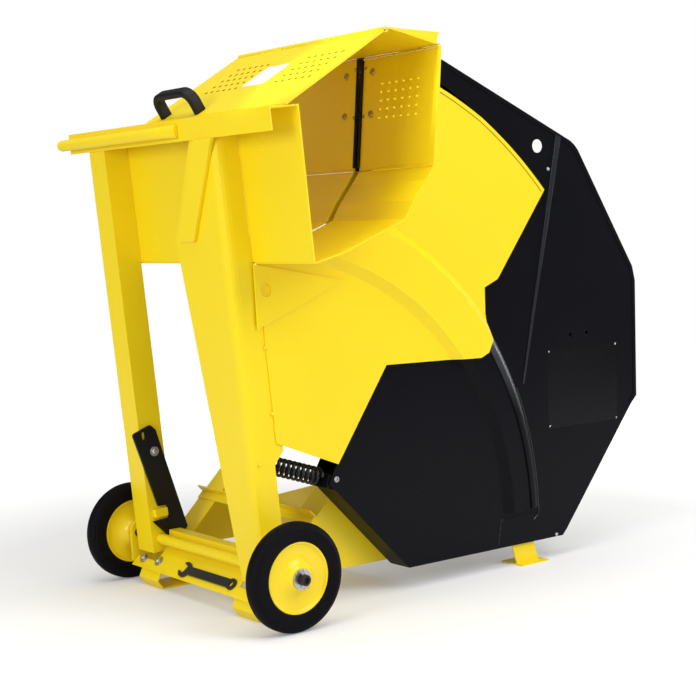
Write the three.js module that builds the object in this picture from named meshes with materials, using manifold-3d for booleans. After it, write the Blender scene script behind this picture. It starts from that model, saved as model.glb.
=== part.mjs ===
import * as THREE from 'three';
import { mergeVertices } from 'three/addons/utils/BufferGeometryUtils.js';
import Module from 'manifold-3d';

const wasm = await Module();
wasm.setup();

// Driving sizes, in millimetres. X runs to the operator's right, Y away from the operator, Z up.

// Sheet metal and fits
const sheet = 3;
const heavySheet = 6;
const seam = 0.3;
const runFit = 0.08;
const overrun = 20;

// Running gear
const wheelDiameter = 200;
const tyreWidth = 36;
const tyreShoulder = 9;
const rimDiameter = 129;
const rimGap = 1;
const rimLip = 4;
const rimDish = 9;
const rimSheet = 3;
const hubDiameter = 42;
const hubLength = 44;
const axleDiameter = 20;
const axleTail = 12;
const axleWasherDiameter = 39;
const axleWasherThick = 3;
const splitPinDiameter = 4;
const splitPinLength = 30;
const trackWidth = 583;

// Cradle pivot, seen from the wheel axle line on the ground
const pivotY = 12;
const pivotZ = 95;
const cradleTiltDegrees = 5.5;
const pivotTubeDiameter = 22;
const pivotPinDiameter = 16;
const pinReach = 50;

// Cradle
const baseToWheel = 33;
const baseLeftX = baseToWheel - trackWidth;
const cradleInset = 10;
const cradleLeftX = baseLeftX + cradleInset;
const cradleRightX = 100;
const legWidth = 60;
const legDepth = 53;
const legWall = 3;
const legFrontY = -22;
const legDrop = 26;
const guardLegRightX = -84.3;
const guardLegFoldRadius = 20;
const guardLegBottomLeftX = -156;
const guardLegBroadLeftX = -250;
const guardLegTopLeftX = -165;
const guardLegBroadZ = 612;
const guardLegBackY = 53;
const guardLegWideFromZ = 193;
const guardLegReturn = 26;
const panelFrontY = 31.3;
const panelBottomZ = 567;
const panelTopZ = 834;
const beamOverhang = 72;
const beamLeftX = cradleLeftX - beamOverhang;
const beamHeight = 40;
const floorFrontY = 97;
const floorFrontZ = 576;
const floorBackY = 243;
const floorBackZ = 618;
const floorKneeY = 266;
const floorKneeZ = 648;
const floorRiseY = 299;
const floorRiseZ = 681;
const backWallLowY = 321;
const backWallLowZ = 705;
const backWallTopY = 360;
const backWallTopZ = 918;
const bladeSlotWidth = 16;
const frontSlotHeight = 150;
const backSlotHeadroom = 26;
const linerWidth = 20;
const linerThick = 3;
const linerHeight = 210;
const linerGap = 8;
const wallFlange = 7;
const ridgeY = 240;
const ridgeZ = 950;
const hoodInset = 183;
const hoodLeftX = cradleLeftX + hoodInset;
const hoodFrontY = 8;
const hoodFrontZ = panelTopZ + sheet + seam;
const cheekRise = 23;
const hingeKnuckleRadius = 5;
const hingePinDiameter = 4;
const knuckleCount = 6;
const handleTubeDiameter = 22;
const handleTubeOverhang = 20;
const handleTubeLeftX = beamLeftX - handleTubeOverhang;
const handleTubeRightX = -194;
const handleTubeZ = 813;
const bowHandleLength = 118;
const bowHandleRise = 49;
const bowHandleWidth = 23;
const bowHandleThick = 13;
const bowHandleCentreX = -242;
const bowHandleUp = 14;
const strutWidth = 57;
const strutThick = 8;
const strutTopX = -111;
const strutLowX = -206;
const beamEndInset = 3;

// Blade and its arbor, whose places set the guards and the casing
const bladeDiameter = 750;
const bladeThick = 3;
const bladeX = -123;
const bladeTeeth = 56;
const toothDepth = 9;
const bladeToPivot = 265;
const arborRadiusFromPivot = bladeDiameter / 2 + bladeToPivot;
const arborDegrees = 54.2;
const arborDiameter = 30;
const flangeDiameter = 110;
const flangeThick = 6;

// Blade guard plates that swing with the cradle
const bladeBeyondGuard = 14;
const guardRadius = arborRadiusFromPivot + bladeDiameter / 2 - bladeBeyondGuard;
const nearGuardX = -84;
const farGuardX = -137;
const bulgeHeight = 14;
const ridgeClearance = 1;
const guardBulgeInner = panelBottomZ + ridgeClearance;
const guardBulgeWidth = 130;
const guardBulgeOuter = guardBulgeInner + guardBulgeWidth;
const bulgeSlope = 22;
const arborSlotHalf = 32;
const arborSlotFromDegrees = 26.5;
const farGuardInner = 572;
const gussetHoleDiameter = 24;
const gussetLowY = 22;
const gussetLowZ = 446;
const gussetBackInset = 11;
const gussetBackDegrees = 24.4;
const gussetHoleY = 50;
const gussetHoleZ = 514;
const guardTopDegrees = 16.3;
const guardRightDegrees = 46.1;
const guardFullDegrees = 33;
const guardTopInset = 13;
const nearGuardEdgeY = 38;
const nearGuardLowZ = 232;

// Arbor nut, shaft and motor
const arborNutAcross = 42;
const arborNutThick = 14;
const spacerDiameter = 48;
const motorDiameter = 180;
const motorLength = 230;
const motorFlangeDiameter = 210;
const motorFlangeThick = 14;
const fanCowlLength = 60;
const fanCowlDiameter = 186;
const shaftInMotor = 60;
const shaftTail = 3;

// Blade casing
const casingWindowInner = 567;
const guardToCasing = 6;
const casingWindowOuter = guardRadius + guardToCasing;
const casingTopDegrees = 22;
const casingAboveWindow = 40.3;
const casingHeight = pivotZ + casingWindowOuter * Math.cos(THREE.MathUtils.degToRad(casingTopDegrees))
  + casingAboveWindow;
const casingBottomShare = 0.042;
const casingToeY = 344.2;
const coverEdge = 5;
const casingRightX = -88;
const casingLeftX = -146.7;
const casingBulgeInner = 590;
const casingBulgeOuter = 690;
const casingWindowDegrees = 45.6;
const casingCornerDegrees = 44;
const casingEdgeDegrees = 35.5;
const casingBulgeFromDegrees = 47.2;
const casingBulgeEndDegrees = 88;
const casingSeamFromDegrees = 66;
const coverEdgeDegrees = 1;
const casingWallTopZ = 227;
const ventHoleDiameter = 9;

// Base frame
const baseRightX = casingLeftX - seam;
const peakY = 206;
const peakZ = 210;
const sideBottomZ = 54;
const sideToeTopZ = 50;
const sideNeck = 30;
const inclineFlange = 62;
const lipY = -22;
const lipZ = 36;
const lipReturn = 10;
const plateKneeY = 26;
const plateKneeZ = 84;
const plateTopZ = 113;
const plateTopFlange = 26;
const crossPlateRightX = -46;
const underLegZ = 52;
const legClearance = 8;
const plateRightX = -170;
const supportFullX = -215;
const supportCut = 88;
const bracketRadius = 26;
const angleSize = 20;
const anglePlace = 62;
const footLength = 72;
const footInset = 38;
const footRightX = -97;
const footFrontY = -12;
const footBackY = 53;
const footKneeY = -25;
const footKneeZ = 18;
const rearFootY = 645;
const rearFootLength = 80;
const rearFootLeftX = -138;
const rearFootRightX = -76;
const rearFootPlateX = -98;
const rearFootPlateY = 634;
const rearFootPlateLength = 64;
const rearFootLean = 16;

// Return spring
const springWire = 6;
const springOuter = 37;
const springTurns = 14;
const springX = -118;
const springSeatY = 150;
const springSeatZ = 248;
const springHeadY = -29;
const springHeadZ = 306;
const springEndGap = 0.3;
const springSeatLength = 16;
const anchorAbove = 7;
const anchorBelow = 18;
const anchorDepth = 62;

// Latch hook, wrench and switch
const latchThick = 5;
const latchBoltDiameter = 20;
const latchBoltThick = 6;
const latchShankDiameter = 10;
const latchPivotZ = 183;
const latchPivotY = 5;
const latchReach = 180;
const tabFrontY = -12;
const tabBackY = 16;
const tabLowZ = 48;
const tabHighZ = 64;
const tabReach = 12;
const wrenchLength = 194;
const wrenchThick = 5;
const wrenchJaw = 34;
const wrenchHandle = 18;
const wrenchMouth = 17;
const wrenchMouthDepth = 20;
const wrenchMouthDegrees = 16;
const wrenchRing = 24;
const wrenchRingHole = 13;
const wrenchMiddleX = -279;
const wrenchMiddleY = -6;
const switchWidth = 90;
const switchHeight = 130;
const switchDepth = 60;
const buttonDiameter = 26;
const buttonHeight = 7;
const buttonTravel = 4;
const buttonSpacing = 46;
const plugDiameter = 52;
const plugLength = 46;

// Places that follow from the sizes above
const wheelRadius = wheelDiameter / 2;
const tilt = THREE.MathUtils.degToRad(cradleTiltDegrees);
const legRightX = cradleLeftX + legWidth;
const legBackY = legFrontY + legDepth;
const plateLeftX = legRightX + legClearance;
const legTopZ = panelTopZ - sheet - seam;
const arborY = pivotY + arborRadiusFromPivot * Math.sin(THREE.MathUtils.degToRad(arborDegrees));
const arborZ = pivotZ + arborRadiusFromPivot * Math.cos(THREE.MathUtils.degToRad(arborDegrees));

const finishes = {
  yellow: { color: 0xf2d21c, roughness: 0.42, metalness: 0.0 },
  black: { color: 0x1d1d20, roughness: 0.5, metalness: 0.0 },
  rubber: { color: 0x2b2b30, roughness: 0.75, metalness: 0.0 },
  zinc: { color: 0xb9bcc0, roughness: 0.35, metalness: 0.9 },
  bladeSteel: { color: 0x9da1a6, roughness: 0.3, metalness: 0.95 },
  springSteel: { color: 0x141416, roughness: 0.35, metalness: 0.6 },
  motor: { color: 0x2c3338, roughness: 0.55, metalness: 0.3 },
  plastic: { color: 0x101012, roughness: 0.45, metalness: 0.0 },
  green: { color: 0x1f8a3a, roughness: 0.4, metalness: 0.0 },
  red: { color: 0xc0201a, roughness: 0.4, metalness: 0.0 },
};

// Helpers for closed solids
const round = 24;
const fineRound = 48;

function signedVolume(positions, index) {
  let volume = 0;
  const corner = (i) => new THREE.Vector3().fromArray(positions, index[i] * 3);
  for (let i = 0; i < index.length; i += 3) {
    volume += corner(i).dot(corner(i + 1).cross(corner(i + 2)));
  }
  return volume;
}

function toManifold(geometry) {
  const bare = geometry.clone();
  bare.deleteAttribute('normal');
  bare.deleteAttribute('uv');
  const merged = mergeVertices(bare);
  const positions = Float32Array.from(merged.attributes.position.array);
  let index = Array.from(merged.index.array);
  if (signedVolume(positions, index) < 0) {
    index = index.reverse();
  }
  return new wasm.Manifold(new wasm.Mesh({
    numProp: 3,
    vertProperties: positions,
    triVerts: Uint32Array.from(index),
  }));
}

function toGeometry(manifold) {
  const mesh = manifold.getMesh();
  const geometry = new THREE.BufferGeometry();
  geometry.setAttribute('position', new THREE.BufferAttribute(Float32Array.from(mesh.vertProperties), 3));
  geometry.setIndex(new THREE.BufferAttribute(Uint32Array.from(mesh.triVerts), 1));
  return geometry;
}

function shapeOf(points, holes = []) {
  const shape = new THREE.Shape(points.map((p) => new THREE.Vector2(p[0], p[1])));
  for (const hole of holes) {
    shape.holes.push(new THREE.Path(hole.map((p) => new THREE.Vector2(p[0], p[1]))));
  }
  return shape;
}

function extrude(points, depth, holes) {
  return new THREE.ExtrudeGeometry(shapeOf(points, holes), { depth, bevelEnabled: false });
}

// A prism whose outline lies in Y and Z, from one X to another
function prismX(points, fromX, toX, holes) {
  const geometry = extrude(points, toX - fromX, holes);
  const turn = new THREE.Matrix4().makeBasis(
    new THREE.Vector3(0, 1, 0), new THREE.Vector3(0, 0, 1), new THREE.Vector3(1, 0, 0));
  geometry.applyMatrix4(turn);
  geometry.translate(fromX, 0, 0);
  return toManifold(geometry);
}

// A prism whose outline lies in X and Z, from one Y to another
function prismY(points, fromY, toY, holes) {
  const geometry = extrude(points, toY - fromY, holes);
  const turn = new THREE.Matrix4().makeBasis(
    new THREE.Vector3(1, 0, 0), new THREE.Vector3(0, 0, 1), new THREE.Vector3(0, -1, 0));
  geometry.applyMatrix4(turn);
  geometry.translate(0, toY, 0);
  return toManifold(geometry);
}

// A prism whose outline lies in X and Y, from one Z to another
function prismZ(points, fromZ, toZ) {
  const geometry = extrude(points, toZ - fromZ);
  geometry.translate(0, 0, fromZ);
  return toManifold(geometry);
}

function box(fromX, toX, fromY, toY, fromZ, toZ) {
  const geometry = new THREE.BoxGeometry(toX - fromX, toY - fromY, toZ - fromZ);
  geometry.translate((fromX + toX) / 2, (fromY + toY) / 2, (fromZ + toZ) / 2);
  return toManifold(geometry);
}

// A round bar along X
function barX(diameter, fromX, toX, y, z, sides = round) {
  const geometry = new THREE.CylinderGeometry(diameter / 2, diameter / 2, toX - fromX, sides);
  geometry.rotateZ(Math.PI / 2);
  geometry.translate((fromX + toX) / 2, y, z);
  return toManifold(geometry);
}

// A round bar between two points
function barAlong(diameter, from, to, sides = round) {
  const start = new THREE.Vector3(...from);
  const run = new THREE.Vector3(...to).sub(start);
  const geometry = new THREE.CylinderGeometry(diameter / 2, diameter / 2, run.length(), sides);
  geometry.applyQuaternion(new THREE.Quaternion().setFromUnitVectors(
    new THREE.Vector3(0, 1, 0), run.clone().normalize()));
  geometry.translate(...start.addScaledVector(run, 1 / 2).toArray());
  return toManifold(geometry);
}

// A turned body about X from a closed profile of radius and X
function turnedX(profile, y, z, sides = fineRound) {
  const geometry = new THREE.LatheGeometry(profile.map((p) => new THREE.Vector2(p[0], p[1])), sides);
  geometry.rotateZ(-Math.PI / 2);
  geometry.translate(0, y, z);
  return toManifold(geometry);
}

function circle(radius, u, v, sides = round) {
  const points = [];
  for (let i = 0; i < sides; i += 1) {
    const angle = (i / sides) * Math.PI * 2;
    points.push([u + radius * Math.cos(angle), v + radius * Math.sin(angle)]);
  }
  return points;
}

function rounded(points, radii, steps = 4) {
  const result = [];
  points.forEach((corner, i) => {
    const radius = radii[i] || 0;
    if (radius === 0) {
      result.push(corner);
      return;
    }
    const before = points[(i + points.length - 1) % points.length];
    const after = points[(i + 1) % points.length];
    const here = new THREE.Vector2(...corner);
    const inward = new THREE.Vector2(...before).sub(here).normalize();
    const outward = new THREE.Vector2(...after).sub(here).normalize();
    const half = Math.acos(THREE.MathUtils.clamp(inward.dot(outward), -1, 1)) / 2;
    const setback = radius / Math.tan(half);
    const start = here.clone().addScaledVector(inward, setback);
    const end = here.clone().addScaledVector(outward, setback);
    for (let k = 0; k <= steps; k += 1) {
      const t = k / steps;
      const curve = new THREE.QuadraticBezierCurve(start, here, end);
      const point = curve.getPoint(t);
      result.push([point.x, point.y]);
    }
  });
  return result;
}

// A bent sheet's section: a path and the same path offset to its left
function ribbon(path, thick) {
  const points = path.map((p) => new THREE.Vector2(p[0], p[1]));
  const offset = points.map((point, i) => {
    const into = i > 0 ? point.clone().sub(points[i - 1]).normalize() : null;
    const from = i < points.length - 1 ? points[i + 1].clone().sub(point).normalize() : null;
    const first = into || from;
    const second = from || into;
    const n1 = new THREE.Vector2(-first.y, first.x);
    const n2 = new THREE.Vector2(-second.y, second.x);
    const mitre = n1.clone().add(n2).normalize();
    return point.clone().addScaledVector(mitre, thick / mitre.dot(n1));
  });
  return [...points, ...offset.reverse()].map((p) => [p.x, p.y]);
}

// A closed skin over rings of points
function skin(rings) {
  const count = rings[0].length;
  const positions = [];
  for (const ring of rings) {
    for (const point of ring) {
      positions.push(point.x, point.y, point.z);
    }
  }
  const index = [];
  for (let i = 0; i + 1 < rings.length; i += 1) {
    for (let k = 0; k < count; k += 1) {
      const a = i * count + k;
      const b = i * count + ((k + 1) % count);
      index.push(a, b, b + count, a, b + count, a + count);
    }
  }
  const last = (rings.length - 1) * count;
  for (let k = 1; k + 1 < count; k += 1) {
    index.push(0, k + 1, k, last, last + k, last + k + 1);
  }
  const geometry = new THREE.BufferGeometry();
  geometry.setAttribute('position', new THREE.Float32BufferAttribute(positions, 3));
  geometry.setIndex(index);
  return geometry;
}

// A point at a radius and an angle from upright, seen from a centre in Y and Z
function polar(radius, degrees, centre = [0, 0]) {
  const angle = THREE.MathUtils.degToRad(degrees);
  return [centre[0] + radius * Math.sin(angle), centre[1] + radius * Math.cos(angle)];
}

function arc(radius, fromDegrees, toDegrees, steps, centre) {
  const points = [];
  for (let i = 0; i <= steps; i += 1) {
    points.push(polar(radius, fromDegrees + ((toDegrees - fromDegrees) * i) / steps, centre));
  }
  return points;
}

// A ring section swept about the pivot axis between two angles
function sector(profile, fromDegrees, toDegrees, steps, centre) {
  const rings = [];
  for (let i = 0; i <= steps; i += 1) {
    const degrees = fromDegrees + ((toDegrees - fromDegrees) * i) / steps;
    rings.push(profile.map((p) => {
      const [y, z] = polar(p[0], degrees, centre);
      return new THREE.Vector3(p[1], y, z);
    }));
  }
  return toManifold(skin(rings));
}

function bulgeProfile(inner, outer, baseX, lift) {
  return [
    [inner, baseX],
    [inner + bulgeSlope, baseX + lift],
    [outer - bulgeSlope, baseX + lift],
    [outer, baseX],
  ];
}

// A flat sheet in Y and Z with a curved ridge pressed outward about the cradle pivot
function bulgedSheet(mask, fromX, inner, outer, fromDegrees, toDegrees, openEnd, centre) {
  const steps = 14;
  const slab = mask(fromX, fromX + sheet);
  const column = mask(fromX - sheet, fromX + bulgeHeight + overrun);
  const lift = bulgeHeight + sheet;
  const lump = sector(bulgeProfile(inner, outer, fromX, lift), fromDegrees, toDegrees, steps, centre);
  const wallDegrees = THREE.MathUtils.radToDeg(sheet / inner);
  const cutTo = openEnd ? toDegrees + wallDegrees : toDegrees - wallDegrees;
  const hollow = sector(
    bulgeProfile(inner, outer, fromX - sheet, lift), fromDegrees - wallDegrees, cutTo, steps, centre);
  return slab.add(lump.intersect(column)).subtract(hollow);
}

const object = new THREE.Group();
const cradle = new THREE.Group();
cradle.position.set(0, pivotY, pivotZ);
cradle.rotation.x = tilt;
object.add(cradle);

function addPiece(name, shape, finish, parent = object) {
  const geometry = shape.isBufferGeometry ? shape : toGeometry(shape);
  const mesh = new THREE.Mesh(geometry, new THREE.MeshStandardMaterial(finish));
  mesh.name = name;
  parent.add(mesh);
  return mesh;
}

// Blade guard angles are read on the resting machine, so the cradle's own frame adds its tilt
const cradlePolar = (radius, degrees) => polar(radius, degrees + cradleTiltDegrees);
const cradleArc = (radius, from, to, steps) =>
  arc(radius, from + cradleTiltDegrees, to + cradleTiltDegrees, steps);
const pivotPoint = [pivotY, pivotZ];

// Wheels on stub axles
function wheelProfiles(midX) {
  const half = tyreWidth / 2;
  const rimRadius = rimDiameter / 2;
  const tyre = [
    [rimRadius + rimGap, midX - half + tyreShoulder / 2],
    [rimRadius + rimGap, midX + half - tyreShoulder / 2],
    [wheelRadius - tyreShoulder * 2, midX + half],
    [wheelRadius - tyreShoulder, midX + half - tyreShoulder / 6],
    [wheelRadius - tyreShoulder / 3, midX + half - tyreShoulder * 0.7],
    [wheelRadius, midX + half - tyreShoulder * 1.6],
    [wheelRadius, midX - half + tyreShoulder * 1.6],
    [wheelRadius - tyreShoulder / 3, midX - half + tyreShoulder * 0.7],
    [wheelRadius - tyreShoulder, midX - half + tyreShoulder / 6],
    [wheelRadius - tyreShoulder * 2, midX - half],
  ];
  return [...tyre, tyre[0]];
}

function wheelRim(midX, side) {
  const half = tyreWidth / 2 - tyreShoulder / 2;
  const rimRadius = rimDiameter / 2;
  const hub = hubDiameter / 2;
  const bore = axleDiameter / 2 + runFit;
  const halfHub = hubLength / 2;
  const dish = half - rimDish;
  const across = [
    [bore, halfHub], [hub, halfHub], [hub + rimLip, dish + rimSheet * 2],
    [rimRadius - rimSheet * 2, dish + rimSheet], [rimRadius - rimSheet, half],
    [rimRadius + rimGap - seam, half], [rimRadius + rimGap - seam, -half],
    [rimRadius - rimSheet, -half], [rimRadius - rimSheet * 2, dish],
    [hub + rimLip, dish + rimSheet], [hub, -halfHub], [bore, -halfHub],
  ].map((p) => [p[0], midX + side * p[1]]);
  return [...across, across[0]];
}

function buildWheel(label, midX, side) {
  addPiece(`tyre_${label}`, turnedX(wheelProfiles(midX), 0, wheelRadius), finishes.rubber);
  addPiece(`rim_${label}`, turnedX(wheelRim(midX, side), 0, wheelRadius), finishes.yellow);
}

function buildAxle(label, midX, side, bracketX) {
  const hubEnd = midX + side * (hubLength / 2 + seam);
  const tip = hubEnd + side * (axleWasherThick + seam + axleTail);
  const from = Math.min(bracketX, tip);
  const to = Math.max(bracketX, tip);
  const pinX = hubEnd + side * (axleWasherThick + seam + splitPinDiameter);
  const pinHole = new THREE.CylinderGeometry(
    splitPinDiameter / 2 + seam, splitPinDiameter / 2 + seam, splitPinLength * 2, round / 2);
  pinHole.rotateX(Math.PI / 4);
  pinHole.translate(pinX, 0, wheelRadius);
  const stub = barX(axleDiameter, from, to, 0, wheelRadius).subtract(toManifold(pinHole));
  addPiece(`stub_axle_${label}`, stub, finishes.zinc);
  const washerFrom = Math.min(hubEnd, hubEnd + side * axleWasherThick);
  const washer = barX(axleWasherDiameter, washerFrom, washerFrom + axleWasherThick, 0, wheelRadius)
    .subtract(barX(axleDiameter + seam * 2, washerFrom - overrun, washerFrom + overrun, 0, wheelRadius));
  addPiece(`axle_washer_${label}`, washer, finishes.zinc);
  const pin = new THREE.CylinderGeometry(
    splitPinDiameter / 2, splitPinDiameter / 2, splitPinLength, round / 2);
  pin.rotateX(Math.PI / 4);
  pin.translate(pinX, 0, wheelRadius);
  addPiece(`split_pin_${label}`, toManifold(pin), finishes.zinc);
}

const rightBracketX = crossPlateRightX;
const leftWheelX = -trackWidth;
const leftBracketX = baseLeftX - seam;
buildWheel('right', 0, 1);
buildWheel('left', leftWheelX, -1);
buildAxle('right', 0, 1, rightBracketX + heavySheet + seam * 2);
buildAxle('left', leftWheelX, -1, leftBracketX - heavySheet - seam);

// Teardrop brackets that carry a stub axle outside and a pivot pin inside
function bracketOutline() {
  const top = arc(bracketRadius, -70, 70, 8, [(pivotY) / 2, wheelRadius]);
  return [...top, [plateKneeY, lipZ + heavySheet], [lipY + heavySheet, lipZ + heavySheet]];
}

function buildBracket(label, fromX, inward) {
  const plate = prismX(bracketOutline(), fromX, fromX + heavySheet);
  const root = inward > 0 ? fromX + heavySheet : fromX;
  const reach = root + inward * (pinReach + (label === 'right' ? guardLegInset : legInset));
  const pin = barX(pivotPinDiameter, Math.min(root, reach) - seam, Math.max(root, reach) + seam, pivotY, pivotZ);
  addPiece(`axle_bracket_${label}`, plate.add(pin), finishes.yellow);
}

const legInset = cradleLeftX - baseLeftX;
const guardLegInset = crossPlateRightX - guardLegRightX;
buildBracket('right', rightBracketX + seam, -1);
buildBracket('left', leftBracketX - heavySheet, 1);

// Folded cross plate between the wheels, with the lower lip running under both legs
function buildCrossPlate() {
  const face = [
    [lipY + lipReturn, lipZ], [lipY, lipZ], [plateKneeY, plateKneeZ],
    [plateKneeY, plateTopZ], [plateKneeY + plateTopFlange, plateTopZ],
  ];
  const full = prismX(ribbon(face, -sheet), baseLeftX + sheet + seam, crossPlateRightX);
  const overLeft = box(baseLeftX, plateLeftX, lipY - overrun, plateKneeY + plateTopFlange + overrun,
    underLegZ, plateTopZ + overrun);
  const overRight = box(plateRightX, crossPlateRightX + overrun, lipY - overrun,
    plateKneeY + plateTopFlange + overrun, underLegZ, plateTopZ + overrun);
  addPiece('cross_plate', full.subtract(overLeft).subtract(overRight), finishes.yellow);
}
buildCrossPlate();

// Triangular side plates with the front edge folded inward
const slopeRise = plateKneeZ - plateKneeY;
const lipBackY = (z) => z - slopeRise + (sheet + seam) * Math.SQRT2;

function sideOutline() {
  const toeY = lipY + lipReturn + seam;
  const inclineLowY = peakY + sideToeTopZ - peakZ;
  return [
    [toeY, lipZ], [toeY, toeY + slopeRise - (sheet + seam) * Math.SQRT2],
    [lipBackY(sideToeTopZ), sideToeTopZ], [inclineLowY, sideToeTopZ],
    [peakY, peakZ], [peakY + peakZ - sideBottomZ, sideBottomZ],
    [inclineLowY + sideNeck, sideBottomZ], [inclineLowY + sideNeck / 2, lipZ],
  ];
}

function buildSide(label, outerX, inward) {
  const fromX = inward > 0 ? outerX : outerX - sheet;
  const plate = prismX(sideOutline(), fromX, fromX + sheet);
  const startY = peakY + sideBottomZ - peakZ + sheet * 3;
  const flange = ribbon([[startY, startY + peakZ - peakY], [peakY - sheet, peakZ - sheet]], -sheet);
  const flangeFrom = inward > 0 ? outerX : outerX - inclineFlange;
  const folded = prismX(flange, flangeFrom, flangeFrom + inclineFlange);
  addPiece(`side_plate_${label}`, plate.add(folded), finishes.yellow);
}
buildSide('left', baseLeftX, 1);
buildSide('right', baseRightX, -1);

// Support plate on the rear slope of both side plates, its upper edge cut aslant down to the left
const supportSum = peakY + peakZ + seam * Math.SQRT2;
const casingSum = casingToeY + casingBottomShare * casingHeight;

function buildSupportPlate() {
  const low = [supportSum - sideBottomZ, sideBottomZ];
  const high = [supportSum - peakZ, peakZ];
  const plate = prismX(ribbon([low, high], -sheet), baseLeftX, baseRightX);
  const corner = prismY([
    [supportFullX, peakZ + sheet], [baseLeftX - overrun, peakZ + sheet],
    [baseLeftX - overrun, peakZ - supportCut],
  ], peakY - overrun, supportSum + overrun);
  addPiece('support_plate', plate.subtract(corner), finishes.yellow);
}
buildSupportPlate();

// Angle iron across both front slopes, one side flat on them and the other standing out
function slopePoint(down, out) {
  return [peakY - (down + out) / Math.SQRT2, peakZ - (down - out) / Math.SQRT2];
}

function buildAngle() {
  const section = ribbon([
    slopePoint(anglePlace + angleSize, seam), slopePoint(anglePlace, seam), slopePoint(anglePlace, angleSize),
  ], sheet);
  addPiece('cross_angle', prismX(section, baseLeftX, baseRightX), finishes.yellow);
}
buildAngle();

// Folded feet under the front of both side plates, and one under the casing
function buildFrontFoot(label, fromX) {
  const top = lipZ - seam;
  const section = ribbon([
    [footBackY, top], [footBackY, 0], [footFrontY, 0], [footKneeY, footKneeZ],
    [lipY + lipReturn / 2, top], [lipY + lipReturn, top],
  ], -sheet);
  addPiece(`front_foot_${label}`, prismX(section, fromX, fromX + footLength), finishes.yellow);
}
buildFrontFoot('right', footRightX - footLength);
buildFrontFoot('left', baseLeftX + footInset);

function buildRearFoot() {
  const top = casingBottomShare * casingHeight - seam;
  const sole = box(rearFootLeftX, rearFootRightX, rearFootY, rearFootY + rearFootLength, 0, sheet);
  const low = rearFootPlateY + rearFootLean;
  const plate = prismX([
    [low, 0], [low + rearFootPlateLength, 0],
    [rearFootPlateY + rearFootPlateLength, top], [rearFootPlateY, top],
  ], rearFootPlateX, rearFootPlateX + sheet);
  addPiece('rear_foot', sole.add(plate), finishes.yellow);
}
buildRearFoot();

// Blade casing: a welded tray of walls between two side panels
const casingShares = (list) => list.map((share) => [share[0] * casingHeight, share[1] * casingHeight]);
const topShares = [[0.374, 1], [0.436, 0.976], [0.768, 0.836], [0.78, 0.828], [0.79, 0.818]];
const rearShares = [[0.79, 0.818], [0.95, 0.579], [0.958, 0.549], [0.959, 0.307], [0.941, 0.29]];
const lowShares = [[0.941, 0.29], [0.742, 0.0524], [0.731, casingBottomShare]];

function casingOutline() {
  const bottomZ = casingBottomShare * casingHeight;
  const edgeAngle = THREE.MathUtils.degToRad(casingCornerDegrees);
  const edgeReach = (casingSum - pivotY - pivotZ) / (Math.sin(edgeAngle) + Math.cos(edgeAngle));
  return [
    [casingSum - bottomZ, bottomZ],
    polar(edgeReach, casingCornerDegrees, pivotPoint),
    ...arc(casingWindowInner, casingEdgeDegrees, casingWindowDegrees, 5, pivotPoint),
    ...arc(casingWindowOuter, casingWindowDegrees, casingTopDegrees, 12, pivotPoint),
    ...casingShares([...topShares, ...rearShares.slice(1), ...lowShares.slice(1)]),
  ];
}

function trimmed(path, amount) {
  const last = path.length - 1;
  const nudge = (from, to) => {
    const here = new THREE.Vector2(...from);
    const step = new THREE.Vector2(...to).sub(here).setLength(amount);
    return here.add(step).toArray();
  };
  return [nudge(path[0], path[1]), ...path.slice(1, last), nudge(path[last], path[last - 1])];
}

function buildCasingWall(name, path) {
  const section = ribbon(trimmed(path, sheet / 2), -sheet);
  addPiece(name, prismX(section, casingLeftX + sheet + seam, casingRightX - sheet - seam), finishes.black);
}

const casingBottomZ = casingBottomShare * casingHeight;
buildCasingWall('casing_top', casingShares(topShares));
buildCasingWall('casing_back', casingShares(rearShares));
buildCasingWall('casing_bottom', [
  ...casingShares(lowShares), [casingSum - casingBottomZ, casingBottomZ],
  [casingSum - casingWallTopZ, casingWallTopZ],
]);

// The two near panels meet along a seam that runs round the pressed ridge
function frontOfSeam() {
  const endDegrees = casingBulgeEndDegrees + coverEdgeDegrees;
  const finger = [
    ...arc(casingBulgeOuter + coverEdge, casingSeamFromDegrees, endDegrees, 8, pivotPoint),
    polar(casingBulgeInner - coverEdge, endDegrees, pivotPoint),
  ];
  const aboveShare = 1.1;
  const upShares = [[0.655, 0.4836], [0.73, 0.857], [0.73, aboveShare], [0, aboveShare], [0, 0]];
  const lowSeamShares = [[0.549, 0], [0.551, 0.05]];
  return [...finger.reverse(), ...casingShares(upShares), ...casingShares(lowSeamShares)];
}

function buildNearPanels() {
  const fromX = casingRightX - sheet;
  const front = (from, to) =>
    prismX(casingOutline(), from, to).intersect(prismX(frontOfSeam(), from - overrun, to + overrun));
  addPiece('casing_near_front', bulgedSheet(front, fromX, casingBulgeInner, casingBulgeOuter,
    casingBulgeFromDegrees, casingBulgeEndDegrees, false, pivotPoint), finishes.black);
  const grown = prismX(offsetOutline(frontOfSeam(), seam), fromX - overrun, fromX + overrun);
  let rear = prismX(casingOutline(), fromX, fromX + sheet).subtract(grown);
  const ventShares = [[0.7605, 0.4471], [0.8082, 0.4481]];
  for (const [y, z] of casingShares(ventShares)) {
    rear = rear.subtract(barX(ventHoleDiameter, fromX - overrun, fromX + overrun, y, z, round / 2));
  }
  addPiece('casing_near_rear', rear, finishes.black);
}

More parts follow.
